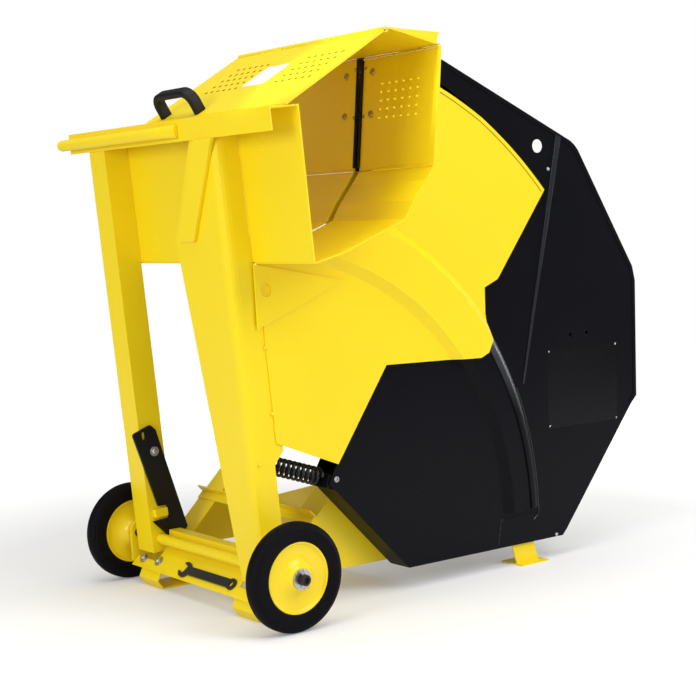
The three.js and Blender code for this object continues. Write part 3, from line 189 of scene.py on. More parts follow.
def powder_coat(name, colour, wear_and_sheen, dusty, roughness, shine=0.5):
    material, tree = open_material(name)
    place = object_place(tree)
    mottle = noise(tree, place, scale=7.0, detail=4.0)
    scuffs = ramp(tree, noise(tree, place, scale=38.0, detail=6.0, rough=0.7), 0.56, 0.74)
    # Lighter along the edges: partly rubbed wear, partly painted highlight.
    edge_rub_and_sheen = edge_mask(tree, 0.0012) * ramp(tree, noise(tree, place, scale=60.0, detail=3.0), 0.42, 0.62)
    base = (mottle * 0.35).mix(colour, dusty)
    base = (scuffs * 0.10).mix(base, dusty)
    base = (edge_rub_and_sheen * 0.35).mix(base, wear_and_sheen)
    peel = noise(tree, place, scale=950.0, detail=1.0)
    bump = tree.add("ShaderNodeBump", None, {"Height": peel, "Strength": 0.10, "Distance": 0.0004})
    return close_material(material, tree, {
        "Base Color": base, "Roughness": roughness + mottle * 0.10 + scuffs * 0.08,
        "Normal": bump, "IOR": 1.5, "Specular IOR Level": shine})


YELLOW = rgb(0.94, 0.715, 0.008)
BLACK = rgb(0.0036, 0.0038, 0.0062)
yellow_paint = powder_coat("yellow_powder_coat", YELLOW, wear_and_sheen=rgb(0.97, 0.80, 0.09),
                           dusty=rgb(0.88, 0.64, 0.010), roughness=0.30, shine=0.35)
black_paint = powder_coat("black_powder_coat", BLACK, wear_and_sheen=rgb(0.02, 0.02, 0.026),
                          dusty=rgb(0.0055, 0.0057, 0.0082), roughness=0.24, shine=0.09)
MERGE_GAP = 0.00002
FLAT_ANGLE = 0.5


def coat_node(name, material, edge=0.4, smooth_from=40):
    """A sheet part as drawn: its pressed edges broken by a small radius, and its finish."""
    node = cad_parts[name]
    node.data.materials.clear()
    node.data.materials.append(material)
    merge = node.modifiers.new("weld", "WELD")
    merge.merge_threshold = MERGE_GAP
    flat = node.modifiers.new("flat", "DECIMATE")
    flat.decimate_type = "DISSOLVE"
    flat.angle_limit = math.radians(FLAT_ANGLE)
    if edge:
        broken = node.modifiers.new("edge", "BEVEL")
        broken.width = edge * MM
        broken.segments = 2
        broken.limit_method = "ANGLE"
        broken.angle_limit = math.radians(smooth_from)
        broken.harden_normals = False
    return node


YELLOW_SHEETS = [
    "cross_plate", "side_plate_left", "side_plate_right", "support_plate", "cross_angle",
    "front_foot_left", "front_foot_right", "rear_foot", "axle_bracket_left", "axle_bracket_right",
    "left_leg", "guard_leg", "pivot_tube", "front_panel", "trough_floor_left",
    "trough_floor_right", "back_wall", "hood_rear", "beam_strut", "gusset", "near_guard",
    "far_guard"]
for sheet_name in YELLOW_SHEETS:
    coat_node(sheet_name, yellow_paint)
BLACK_SHEETS = ["casing_near_front", "casing_near_rear", "casing_far", "casing_top",
                "casing_back", "casing_bottom", "spring_anchor"]
for sheet_name in BLACK_SHEETS:
    coat_node(sheet_name, black_paint)

# Wheels
# Two solid rubber tyres moulded on rims of two pressed steel halves. Each rim has a rolled lip
# outside, a crowned dish, and a short hub that turns on its stub axle.


def joined(*shapes):
    """Several closed meshes as one list of points and faces."""
    points, faces = [], []
    for shape_points, shape_faces in shapes:
        start = len(points)
        points.extend(shape_points)
        faces.extend(tuple(start + i for i in face) for face in shape_faces)
    return points, faces


def turned(profile, sides=96):
    """A closed profile of radius and height, turned about Z; it may start and end on the axis."""
    rings, points, faces = [], [], []
    for radius, height in profile:
        if radius == 0:
            rings.append([len(points)] * sides)
            points.append(Vector((0, 0, height)))
            continue
        rings.append(list(range(len(points), len(points) + sides)))
        for i in range(sides):
            angle = math.tau * i / sides
            points.append(Vector((radius * math.cos(angle), radius * math.sin(angle), height)))
    closing = [] if profile[0][0] == 0 else [(rings[-1], rings[0])]
    for low_ring, high_ring in [*zip(rings, rings[1:]), *closing]:
        for i in range(sides):
            j = (i + 1) % sides
            face = [low_ring[i], low_ring[j], high_ring[j], high_ring[i]]
            face = [v for k, v in enumerate(face) if v not in face[:k]]
            if len(face) > 2:
                faces.append(tuple(face))
    return points, faces


def swept(path, section, up, scales=None):
    """A closed section carried along a path; scales stretch it sideways and along up."""
    points, faces = [], []
    up = Vector(up).normalized()
    last = len(path) - 1
    for i, spot in enumerate(path):
        run = (Vector(path[min(i + 1, last)]) - Vector(path[max(i - 1, 0)])).normalized()
        side = run.cross(up).normalized()
        over = side.cross(run)
        wide, tall = scales[i] if scales else (1, 1)
        points.extend(Vector(spot) + side * u * wide + over * v * tall for u, v in section)
    count = len(section)
    for i in range(last):
        for k in range(count):
            j = (k + 1) % count
            faces.append((i * count + k, i * count + j, (i + 1) * count + j, (i + 1) * count + k))
    faces.append(tuple(reversed(range(count))))
    faces.append(tuple(range(last * count, (last + 1) * count)))
    return points, faces


def disc_section(radius, sides):
    return [(radius * math.cos(math.tau * k / sides), radius * math.sin(math.tau * k / sides))
            for k in range(sides)]


def cut_plate(outline, thick, holes=()):
    """A flat plate in X and Y with holes right through, from 0 to its thickness in Z."""
    rings = [list(outline), *[list(hole) for hole in holes]]
    flat = [Vector((u, v, 0)) for ring in rings for u, v in ring]
    count = len(flat)
    points = flat + [p + Vector((0, 0, thick)) for p in flat]
    faces = []
    for face in tessellate_polygon([[Vector((u, v, 0)) for u, v in ring] for ring in rings]):
        a, b, c = (flat[i] for i in face)
        if (b - a).cross(c - a).z < 0:
            face = tuple(reversed(face))
        faces.append(tuple(reversed(face)))
        faces.append(tuple(i + count for i in face))
    start = 0
    for number, ring in enumerate(rings):
        area = sum(a[0] * b[1] - b[0] * a[1] for a, b in zip(ring, ring[1:] + ring[:1]))
        outward = (area > 0) == (number == 0)
        for k in range(len(ring)):
            i, j = start + k, start + (k + 1) % len(ring)
            faces.append((i, j, j + count, i + count) if outward
                         else (j, i, i + count, j + count))
        start += len(ring)
    return points, faces


def placed(shape, spot, first=(1, 0, 0), second=(0, 1, 0)):
    """A shape drawn about its own origin, set at a point with its X and Y along two directions."""
    first, second = Vector(first).normalized(), Vector(second).normalized()
    third = first.cross(second)
    points, faces = shape
    return [Vector(spot) + first * p[0] + second * p[1] + third * p[2] for p in points], faces


def piece(name, shape, body, material, smooth=35, edge=0.0, segments=2):
    """A finished piece from a shape in the drawing's millimetres, riding on a body."""
    mesh = bpy.data.meshes.new(name)
    points, faces = shape
    mesh.from_pydata([at(*p) for p in points], [], faces)
    mesh.materials.append(material)
    mesh.polygons.foreach_set("use_smooth", [smooth > 0] * len(mesh.polygons))
    if smooth:
        mesh.set_sharp_from_angle(angle=math.radians(smooth))
    made = bpy.data.objects.new(name, mesh)
    bpy.context.scene.collection.objects.link(made)
    if edge:
        broken = made.modifiers.new("edge", "BEVEL")
        broken.width = edge * MM
        broken.segments = segments
        broken.limit_method = "ANGLE"
        broken.angle_limit = math.radians(40)
    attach(made, body)
    return made


def rubber(name, tint, grime, shine=0.18):
    material, tree = open_material(name)
    place = object_place(tree)
    bloom = noise(tree, place, scale=22.0, detail=5.0, rough=0.65)
    dust = ramp(tree, noise(tree, place, scale=140.0, detail=3.0), 0.45, 0.8)
    base = (bloom * 0.5).mix(tint, grime)
    base = (dust * 0.18).mix(base, grime)
    grain = noise(tree, place, scale=1600.0, detail=2.0)
    bump = tree.add("ShaderNodeBump", None, {"Height": grain, "Strength": 0.25, "Distance": 0.0003})
    return close_material(material, tree, {
        "Base Color": base, "Roughness": 0.48 + bloom * 0.22, "Normal": bump,
        "Specular IOR Level": shine})


tyre_rubber = rubber("tyre_rubber", rgb(0.0028, 0.0028, 0.0042), grime=rgb(0.009, 0.009, 0.012),
                     shine=0.07)
WHEEL_RADIUS = 100
TRACK = 583

# Half sections from the rim seat outwards: radius, then distance from the wheel's middle.
TYRE = [
    (65.6, 13.2), (66.4, 14.6), (68.4, 15.4), (71.5, 15.7), (76, 16.3), (82, 17.2), (86.5, 17.7),
    (89.2, 17.4), (91, 16.4), (91.6, 15.6), (92.4, 15.4), (94.2, 14.9), (96.2, 13.4),
    (97.8, 11.2), (98.9, 9.0), (99.3, 8.2), (99.3, 7.2), (99.8, 6.4), (100, 4.0), (100, 0)]
RIM = [
    (10.2, 21.8), (19.6, 21.8), (21, 21.1), (22.2, 19.6), (24.5, 16.8), (28.5, 13.2), (34, 10.4),
    (41, 8.7), (48, 8.3), (54, 8.6), (58.4, 9.6), (60.4, 10.7), (61.6, 12.2), (62.6, 13.5),
    (64, 14.1), (65.2, 13.6), (65.4, 12.4), (65.4, 0.6), (64.9, 0)]
rim_paint = powder_coat("rim_powder_coat", YELLOW, wear_and_sheen=rgb(0.80, 0.60, 0.05),
                        dusty=rgb(0.78, 0.52, 0.012), roughness=0.26)


def mirrored_profile(half):
    return [*half, *[(radius, -height) for radius, height in reversed(half)]]


for side_name, wheel_x in (("right", 0), ("left", -TRACK)):
    hub = (wheel_x, 0, WHEEL_RADIUS)
    tyre = piece(f"rubber_tyre_{side_name}",
                 placed(turned(mirrored_profile(TYRE), sides=128), hub, (0, 1, 0), (0, 0, 1)),
                 f"wheel_{side_name}", tyre_rubber, smooth=50)
    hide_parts(f"tyre_{side_name}")
    rim = piece(f"pressed_rim_{side_name}",
                placed(turned(mirrored_profile(RIM)), hub, (0, 1, 0), (0, 0, 1)),
                f"wheel_{side_name}", rim_paint, smooth=60)
    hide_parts(f"rim_{side_name}")

# Stub axles, washers and split pins
# Each axle is a drawn steel tube welded into its bracket. A zinc-plated washer holds the wheel on
# and a split pin, the ends of its two legs spread, holds the washer.


def plated_metal(name, tint, stain, roughness, metallic=1.0):
    material, tree = open_material(name)
    place = object_place(tree)
    cloud = noise(tree, place, scale=90.0, detail=4.0, rough=0.6)
    spots = ramp(tree, noise(tree, place, scale=420.0, detail=3.0), 0.55, 0.75)
    base = (cloud * 0.5).mix(tint, stain)
    base = (spots * 0.25).mix(base, stain)
    scratch = noise(tree, place, scale=1300.0, detail=2.0)
    bump = tree.add("ShaderNodeBump", None,
                    {"Height": scratch, "Strength": 0.12, "Distance": 0.0002})
    return close_material(material, tree, {
        "Base Color": base, "Metallic": metallic, "Roughness": roughness + cloud * 0.2,
        "Normal": bump})


zinc = plated_metal("zinc_plate", rgb(0.62, 0.63, 0.65), stain=rgb(0.36, 0.36, 0.35), roughness=0.22)
oiled_steel = plated_metal("oiled_axle_end", rgb(0.030, 0.028, 0.028), stain=rgb(0.06, 0.03, 0.02),
                           roughness=0.40, metallic=0.6)
HUB_HALF = 22.3
WASHER_THICK = 3.3
AXLE_RADIUS = 10
AXLE_ROOT = -33
AXLE_BEYOND = 12
AXLE_CHAMFER = 1.2
AXLE_BORE = 5.2
AXLE_BORE_DEPTH = 5
axle_tip = HUB_HALF + WASHER_THICK + AXLE_BEYOND
PIN_WIRE = 1.9
PIN_BEYOND = 4
PIN_TOP = 14
PIN_LENGTH = 29
PIN_SPREAD = 4.5
PIN_BENT_FROM = 0.8
PIN_EYE = 3.4
PIN_TURN = math.radians(12)
pin_section = disc_section(PIN_WIRE * 0.75, 10)
for side_name, wheel_x, side in (("right", 0, 1), ("left", -TRACK, -1)):
    coat_node(f"axle_washer_{side_name}", zinc, edge=0.5)
    profile = [(0, AXLE_ROOT), (AXLE_RADIUS, AXLE_ROOT), (AXLE_RADIUS, axle_tip - AXLE_CHAMFER),
               (AXLE_RADIUS - AXLE_CHAMFER, axle_tip), (AXLE_BORE + 1, axle_tip),
               (AXLE_BORE + 0.4, axle_tip - 0.8), (AXLE_BORE, axle_tip - AXLE_BORE_DEPTH),
               (0, axle_tip - AXLE_BORE_DEPTH)]
    axle = piece(f"axle_tube_{side_name}",
                 placed(turned(profile, sides=48), (wheel_x, 0, WHEEL_RADIUS),
                        (0, side, 0), (0, 0, 1)), "frame", oiled_steel, smooth=40)
    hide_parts(f"stub_axle_{side_name}")
    pin_x = wheel_x + side * (HUB_HALF + WASHER_THICK + PIN_BEYOND)
    legs = []
    for leg in (-1, 1):
        path = []
        for i in range(9):
            share = i / 8
            bent = max(0, share - PIN_BENT_FROM) / (1 - PIN_BENT_FROM)
            path.append((pin_x + side * 1.2 * bent, leg * (PIN_WIRE * 0.55 + PIN_SPREAD * bent),
                         PIN_TOP - PIN_LENGTH * share))
        legs.append(swept(path, pin_section, (1, 0, 0)))
    eye = [(pin_x, PIN_EYE * math.cos(a), PIN_TOP + 1.6 + PIN_EYE * math.sin(a))
           for a in (math.tau * i / 20 for i in range(21))]
    legs.append(swept(eye, pin_section, (1, 0, 0)))
    points, faces = joined(*legs)
    points = [Vector((x, y * math.cos(PIN_TURN) - z * math.sin(PIN_TURN),
                      WHEEL_RADIUS + y * math.sin(PIN_TURN) + z * math.cos(PIN_TURN)))
              for x, y, z in points]
    split = piece(f"split_pin_wire_{side_name}", (points, faces), "frame", zinc, smooth=60)
    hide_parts(f"split_pin_{side_name}")

# Return spring
# One length of black spring wire wound into an open coil, held between the block in the casing and
# the round seat on the guard leg. It is squeezed when the cradle swings in.
SPRING_WIRE = 6
SPRING_OUTER = 37
SPRING_TURNS = 14
SPRING_SEAT = Vector((-118, 150, 248))
SPRING_HEAD = Vector((-118, -29, 306))
SPRING_END_GAP = 4.08
SEAT_DEPTH = 16
COIL_STEPS = 28
spring_axis = (SPRING_HEAD - SPRING_SEAT).normalized()
spring_span = (SPRING_HEAD - SPRING_SEAT).length
coil_side = Vector((1, 0, 0))
coil_up = spring_axis.cross(coil_side)
coil_radius = (SPRING_OUTER - SPRING_WIRE) / 2
coil_length = spring_span - SPRING_END_GAP * 2 - SEAT_DEPTH
coil_path = []
for i in range(SPRING_TURNS * COIL_STEPS + 1):
    turn = i / COIL_STEPS
    angle = math.tau * turn
    coil_path.append(SPRING_SEAT + spring_axis * (SPRING_END_GAP
                     + coil_length * turn / SPRING_TURNS)
                     + (coil_side * math.cos(angle) + coil_up * math.sin(angle)) * coil_radius)
spring_steel = plated_metal("spring_steel", rgb(0.012, 0.012, 0.013), stain=rgb(0.035, 0.033, 0.032),
                            roughness=0.16, metallic=0.3)
spring = piece("wound_spring", swept(coil_path, disc_section(SPRING_WIRE / 2, 12), spring_axis),
               "frame", spring_steel, smooth=60)
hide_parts("return_spring")
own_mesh(spring)

# Blade, flanges and arbor
# A 750 mm disc of tempered steel with 56 teeth, its body ground in fine rings, clamped on the motor
# shaft between two turned flanges by a nut.


def ground_steel(name, tint, shade, roughness, spot):
    """Turned or ground steel: fine rings about an axis along X through a spot."""
    material, tree = open_material(name)
    place = object_place(tree)
    centred = tree.add("ShaderNodeVectorMath", {"operation": "SUBTRACT"},
                       {0: place, 1: tuple(at(*spot))})
    round_x = tree.add("ShaderNodeVectorMath", {"operation": "MULTIPLY"},
                       {0: centred, 1: (0, 1, 1)})
    radius = tree.add("ShaderNodeVectorMath", {"operation": "LENGTH"}, {0: round_x}, 1)
    rings = tree.add("ShaderNodeTexNoise", {"noise_dimensions": "1D"},
                     {"W": radius, "Scale": 1500.0, "Detail": 3.0})
    cloud = noise(tree, place, scale=14.0, detail=4.0)
    base = (rings * 0.5 + cloud * 0.3).mix(tint, shade)
    bump = tree.add("ShaderNodeBump", None, {"Height": rings, "Strength": 0.2, "Distance": 0.0002})
    return close_material(material, tree, {
        "Base Color": base, "Metallic": 1.0, "Roughness": roughness + rings * 0.15 + cloud * 0.1,
        "Normal": bump})


ARBOR = (-123, 531.1, 469.4)
blade_steel = ground_steel("ground_blade_steel", rgb(0.55, 0.56, 0.58), shade=rgb(0.30, 0.31, 0.33),
                           roughness=0.2, spot=ARBOR)
coat_node("saw_blade", blade_steel, edge=0.25, smooth_from=60)
for node_name in ("inner_flange", "outer_flange", "arbor_nut", "blade_shaft", "hinge_pin"):
    coat_node(node_name, zinc, edge=0.6)

# Motor
# An enclosed brake motor bolted by its flange to the far side of the casing: a cast body with
# cooling fins along it and an end shield at each end, in dark grey enamel.


def enamel(name, tint, wear_and_sheen, roughness):
    material, tree = open_material(name)
    place = object_place(tree)
    cloud = noise(tree, place, scale=18.0, detail=4.0)
    cast = noise(tree, place, scale=520.0, detail=4.0, rough=0.6)
    # Lighter along the edges: partly rubbed wear, partly painted highlight.
    edge_rub_and_sheen = edge_mask(tree, 0.0015) * ramp(tree, noise(tree, place, scale=75.0, detail=3.0), 0.45, 0.6)
    base = (cloud * 0.4).mix(tint, wear_and_sheen)
    base = (edge_rub_and_sheen * 0.5).mix(base, wear_and_sheen)
    bump = tree.add("ShaderNodeBump", None, {"Height": cast, "Strength": 0.35, "Distance": 0.0005})
    return close_material(material, tree, {
        "Base Color": base, "Roughness": roughness + cloud * 0.12, "Normal": bump})


motor_enamel = enamel("motor_enamel", rgb(0.020, 0.025, 0.028), wear_and_sheen=rgb(0.06, 0.065, 0.07),
                      roughness=0.42)
MOTOR_RADIUS = 90
MOTOR_FROM, MOTOR_TO = -391.3, -161.3
FIN_COUNT = 40
FIN_DEPTH = 11
FIN_CLEARANCE = 0.5
SHIELD = 22
fin_outline = []
fin_root, fin_tip = MOTOR_RADIUS - FIN_DEPTH, MOTOR_RADIUS - FIN_CLEARANCE
for i in range(FIN_COUNT):
    for share, radius in ((0, fin_root), (0.55, fin_root), (0.66, fin_tip), (0.89, fin_tip)):
        angle = math.tau * (i + share) / FIN_COUNT
        fin_outline.append((radius * math.cos(angle), radius * math.sin(angle)))
fin_length = MOTOR_TO - MOTOR_FROM - 2 * SHIELD
fins = placed(cut_plate(fin_outline, fin_length), (MOTOR_FROM + SHIELD, *ARBOR[1:]),
              (0, 1, 0), (0, 0, 1))


def end_shield(start, run):
    profile = [(0, 0), (MOTOR_RADIUS - 16, 0), (MOTOR_RADIUS - 6, 1.5), (MOTOR_RADIUS - 0.4, 6),
               (MOTOR_RADIUS - 0.4, SHIELD - 2), (MOTOR_RADIUS - 2, SHIELD), (0, SHIELD)]
    return placed(turned(profile, sides=64), (start, *ARBOR[1:]), (0, 1, 0), (0, 0, run))


motor = piece("finned_motor", joined(fins, end_shield(MOTOR_FROM, 1), end_shield(MOTOR_TO, -1)),
              "frame", motor_enamel, smooth=30)
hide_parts("motor_body")
coat_node("motor_flange", motor_enamel, edge=1.2)

# Fan and its cowl
# The cowl is pressed from thin sheet, with rings of slots punched in its end. The fan behind it is
# moulded in black plastic, with straight vanes on a hub.
COWL_RADIUS = 93
COWL_FROM = -451.6
COWL_SHELL = 2
SLOT_RINGS = ((26, 6), (40, 9), (54, 12), (68, 15))
SLOT_BRIDGE = 10
SLOT_WIDTH = 8
cowl_profile = [
    (COWL_RADIUS - 0.2, 60), (COWL_RADIUS - 0.2, 10), (COWL_RADIUS - 1.5, 5), (COWL_RADIUS - 5, 1.5),
    (COWL_RADIUS - 10, 0.2), (COWL_RADIUS - 12, 0.2), (COWL_RADIUS - 12, COWL_SHELL),
    (COWL_RADIUS - 6, 3.5), (COWL_RADIUS - 3, 8), (COWL_RADIUS - COWL_SHELL - 0.2, 12),
    (COWL_RADIUS - COWL_SHELL - 0.2, 60)]
slots = []
for ring_radius, slot_count in SLOT_RINGS:
    for i in range(slot_count):
        middle = math.tau * (i + 0.5 * (slot_count % 2)) / slot_count
        half = math.pi / slot_count - SLOT_BRIDGE / 2 / ring_radius
        outer = [(ring_radius + SLOT_WIDTH / 2, middle - half + half * 2 * k / 6) for k in range(7)]
        inner = [(ring_radius - SLOT_WIDTH / 2, middle + half - half * 2 * k / 6) for k in range(7)]
        slots.append([(r * math.cos(a), r * math.sin(a)) for r, a in outer + inner])
grille = cut_plate(disc_section(COWL_RADIUS - 11.5, 72), COWL_SHELL - 0.2, slots)
grille = ([p + Vector((0, 0, 0.2)) for p in grille[0]], grille[1])
cowl = piece("fan_cowl_grille",
             placed(joined(turned(cowl_profile, sides=72), grille), (COWL_FROM, *ARBOR[1:]),
                    (0, 1, 0), (0, 0, 1)), "frame", motor_enamel, smooth=40)
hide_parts("fan_cowl")
fan_plastic = rubber("fan_plastic", rgb(0.012, 0.012, 0.013), grime=rgb(0.03, 0.03, 0.03))
FAN_FROM, FAN_TO = 14, 40
FAN_HUB_RADIUS = 24
VANE_COUNT = 9
VANE_ROOT, VANE_TIP = 20, 76
VANE_THICK = 3
VANE_DEPTH = 24
fan_parts = [turned([(0, FAN_FROM), (FAN_HUB_RADIUS, FAN_FROM), (FAN_HUB_RADIUS, FAN_TO),
                     (0, FAN_TO)], sides=32)]
for i in range(VANE_COUNT):
    angle = math.tau * i / VANE_COUNT
    out = (math.cos(angle), math.sin(angle), 0)
    vane = cut_plate([(VANE_ROOT, -VANE_THICK / 2), (VANE_TIP, -VANE_THICK / 2),
                      (VANE_TIP, VANE_THICK / 2), (VANE_ROOT, VANE_THICK / 2)], VANE_DEPTH)
    fan_parts.append(placed(vane, (0, 0, FAN_FROM), out, (-out[1], out[0], 0)))
piece("cooling_fan", placed(joined(*fan_parts), (COWL_FROM, *ARBOR[1:]), (0, 1, 0), (0, 0, 1)),
      "frame", fan_plastic, smooth=40)

# Switch
# A moulded box on the back of the motor with a green start button, a red stop button and, below,
# a round inlet for the mains coupling. Both buttons are moulded with a shallow dish.
switch_plastic = enamel("switch_plastic", rgb(0.014, 0.014, 0.015), wear_and_sheen=rgb(0.04, 0.04, 0.04),
                        roughness=0.36)
coat_node("switch_box", switch_plastic, edge=2.5)
for body, tint, slot_name in (("start", rgb(0.01, 0.27, 0.05), "green_plastic"),
                              ("stop", rgb(0.55, 0.008, 0.006), "red_plastic")):
    worn_tint = rgb(*(channel * 0.8 for channel in tint[:3]))
    gloss = enamel(f"{body}_button_plastic", tint, wear_and_sheen=worn_tint, roughness=0.22)
    low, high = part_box(f"{body}_button")
    radius = (high.x - low.x) / 2 / MM
    depth = (high.y - low.y) / MM
    spot = Vector(((low.x + high.x) / 2, low.y, (low.z + high.z) / 2)) - origin
    profile = [(0, 0), (radius, 0), (radius, depth - 1.5), (radius - 0.5, depth - 0.5),
               (radius - 1.6, depth), (radius - 3, depth - 0.2), (radius - 6, depth - 1.1),
               (0, depth - 1.5)]
    button = piece(f"{body}_button_cap", placed(turned(profile, sides=48), spot / MM, (0, 0, 1),
                                                (1, 0, 0)), body, gloss, smooth=40)
    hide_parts(f"{body}_button")

# Push handle
# A 22 mm steel tube along the beam, domed at its left end and pressed flat against the beam at its
# right end, where it is welded on. It is powder coated with the cradle.
CRADLE_TILT = math.radians(5.5)
PIVOT_Y, PIVOT_Z = 12, 95


def hung(x, y, z):
    """A point of the upright cradle's drawing, measured from its pivot, on the tilted cradle."""
    return Vector((x, PIVOT_Y + y * math.cos(CRADLE_TILT) - z * math.sin(CRADLE_TILT),
                   PIVOT_Z + y * math.sin(CRADLE_TILT) + z * math.cos(CRADLE_TILT)))


hang_y = hung(0, 1, 0) - hung(0, 0, 0)
hang_z = hung(0, 0, 1) - hung(0, 0, 0)
TUBE_RADIUS = 11
TUBE_FROM, TUBE_TO = -632, -194
TUBE_Y, TUBE_Z = -36.6, 813
PRESSED_FROM = 0.84
PRESSED_BY = 0.62
tube_path, tube_scales = [], []
for i in range(9):
    angle = math.pi / 2 * i / 8
    tube_path.append(hung(TUBE_FROM + TUBE_RADIUS * (1 - math.cos(angle)), TUBE_Y, TUBE_Z))
    tube_scales.append((max(math.sin(angle), 0.05),) * 2)
straight_from = TUBE_FROM + TUBE_RADIUS + 1
for i in range(13):
    share = i / 12
    pressed = max(0, (share - PRESSED_FROM) / (1 - PRESSED_FROM))
    flat = 1 - PRESSED_BY * pressed * pressed * (3 - 2 * pressed)
    tube_path.append(hung(straight_from + (TUBE_TO - straight_from) * share,
                          TUBE_Y + TUBE_RADIUS * (1 - flat), TUBE_Z))
    tube_scales.append((flat, 1 + 0.15 * (1 - flat)))
tube = piece("push_tube", swept(tube_path, disc_section(TUBE_RADIUS, 32), hang_z, tube_scales),
             "cradle", yellow_paint, smooth=50)
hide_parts("push_handle")

# Bow handle
# A bow of moulded black plastic with chamfered edges, screwed to the front of the lid from inside.
# Its two feet stand on the lid and its corners are well rounded.
LID_FRONT = (8, 837.3)
LID_TOP = (237.9, 951)
LID_FOOT = hung(0, *LID_FRONT)
lid_run = (hung(0, *LID_TOP) - LID_FOOT).normalized()
lid_out = Vector((1, 0, 0)).cross(lid_run)
BOW_MIDDLE_X = -242
BOW_HALF = 65.5
BOW_RISE = 49
BOW_THICK = 13
BOW_WIDTH = 23
BOW_CORNER = 22
BOW_CHAMFER = 3
BOW_SETBACK = 14
BOW_CLEARANCE = 0.3
half = BOW_HALF - BOW_THICK / 2
top = BOW_RISE - BOW_THICK / 2
bow_flat = [(-half, 0), (-half, (top - BOW_CORNER) / 2)]
for middle, start in ((-half + BOW_CORNER, math.pi), (half - BOW_CORNER, math.pi / 2)):
    for i in range(9):
        angle = start - math.pi / 2 * i / 8
        bow_flat.append((middle + BOW_CORNER * math.cos(angle),
                         top - BOW_CORNER + BOW_CORNER * math.sin(angle)))
bow_flat += [(half, (top - BOW_CORNER) / 2), (half, 0)]
bow_foot = LID_FOOT + lid_run * BOW_SETBACK + lid_out * BOW_CLEARANCE
bow_path = [bow_foot + Vector((BOW_MIDDLE_X + u, 0, 0)) + lid_out * v for u, v in bow_flat]
deep, wide = BOW_THICK / 2, BOW_WIDTH / 2
less_deep, less_wide = deep - BOW_CHAMFER, wide - BOW_CHAMFER
bow_section = [(-deep, -less_wide), (-less_deep, -wide), (less_deep, -wide), (deep, -less_wide),
               (deep, less_wide), (less_deep, wide), (-less_deep, wide), (-deep, less_wide)]
handle_plastic = rubber("handle_plastic", rgb(0.0034, 0.0034, 0.0055),
                        grime=rgb(0.010, 0.010, 0.014), shine=0.3)
bow = piece("bow_handle", swept(bow_path, bow_section, lid_run), "lid", handle_plastic,
            smooth=50, edge=1.0)
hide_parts("lid_handle")

# Hood lid
# A folded sheet hinged along the ridge on a pin through alternate knuckles. It is punched with two
# fields of round holes, so that the operator can see what is being cut. The walls of the holes are
# coloured dark as painted shade.
HOOD_LEFT, HOOD_RIGHT = -357, 100
LID_LENGTH = math.dist(LID_FRONT, LID_TOP)
SHEET = 3
RIDGE_GAP = 7
HOLE_RADIUS = 3.6
FIELD_STARTS = (-272, -44)
FIELD_LOW = 98
HOLE_COLUMNS, HOLE_ROWS = 6, 5
COLUMN_STEP, ROW_STEP = 20, 22
holes = []
for field_start in FIELD_STARTS:
    for column in range(HOLE_COLUMNS):
        for row in range(HOLE_ROWS):
            x, along = field_start + COLUMN_STEP * column, FIELD_LOW + ROW_STEP * row
            holes.append([(x + u, along + v) for u, v in disc_section(HOLE_RADIUS, 14)])
lid_sheet = cut_plate([(HOOD_LEFT, 0), (HOOD_RIGHT, 0), (HOOD_RIGHT, LID_LENGTH - RIDGE_GAP),
                       (HOOD_LEFT, LID_LENGTH - RIDGE_GAP)], SHEET, holes)
lid_under = LID_FOOT - lid_out * SHEET
lid_parts = [placed(lid_sheet, lid_under, (1, 0, 0), lid_run)]
RIDGE_Y, RIDGE_Z = 240, 950
KNUCKLES = 6
KNUCKLE_RADIUS = 5
KNUCKLE_BORE = 2.2
KNUCKLE_PLAY = 0.4
TONGUE_FROM, TONGUE_TO = LID_LENGTH - RIDGE_GAP - 1, LID_LENGTH + 1.5
knuckle_step = (HOOD_RIGHT - HOOD_LEFT) / KNUCKLES
stretch = knuckle_step - KNUCKLE_PLAY * 2
for i in range(1, KNUCKLES, 2):
    start = HOOD_LEFT + i * knuckle_step + KNUCKLE_PLAY
    barrel = turned([(KNUCKLE_BORE, 0), (KNUCKLE_RADIUS, 0), (KNUCKLE_RADIUS, stretch),
                     (KNUCKLE_BORE, stretch)], sides=24)
    lid_parts.append(placed(barrel, hung(start, RIDGE_Y, RIDGE_Z), hang_y, hang_z))
    tongue = cut_plate([(start, TONGUE_FROM), (start + stretch, TONGUE_FROM),
                        (start + stretch, TONGUE_TO), (start, TONGUE_TO)], SHEET)
    lid_parts.append(placed(tongue, lid_under, (1, 0, 0), lid_run))
lid = piece("punched_lid", joined(*lid_parts), "lid", yellow_paint, smooth=35)
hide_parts("hood_lid")
# The lid's second material is painted shade for the walls of its holes.
hole_shade = powder_coat("hole_wall_painted_shade", rgb(0.16, 0.10, 0.006), wear_and_sheen=rgb(0.3, 0.2, 0.02),
                         dusty=rgb(0.10, 0.06, 0.005), roughness=0.5, shine=0.2)
lid.data.materials.append(hole_shade)
FIELD_FROM, FIELD_TO = 60, LID_LENGTH - 40
HOLE_FACET_AREA = 2e-5
for face in lid.data.polygons:
    along = (face.center - at(*LID_FOOT)).dot(lid_run) / MM
    across = abs(face.normal.dot(lid_out)) < 0.1
    if across and FIELD_FROM < along < FIELD_TO and face.area < HOLE_FACET_AREA:
        face.material_index = 1

# Blade slot: bolts and lining
# Dome-headed zinc-plated bolts hold the guard strips beside the slot in the back wall. The strips and
# the flange that runs back along the slot are of the same black plastic.


def dome(radius, height, sides=24):
    """A round head standing on its face, along Z."""
    rise = [(radius * math.cos(math.radians(a)), height * math.sin(math.radians(a)))
            for a in (0, 22, 45, 68)]
    return turned([(0, -0.5), (radius, -0.5), *rise, (0, height)], sides)


WALL_LOW, WALL_TOP = (321, 705), (360, 918)
wall_foot = hung(0, *WALL_LOW)
wall_run = (hung(0, *WALL_TOP) - wall_foot).normalized()
LARGE_HEAD, SMALL_HEAD = 7, 3.6
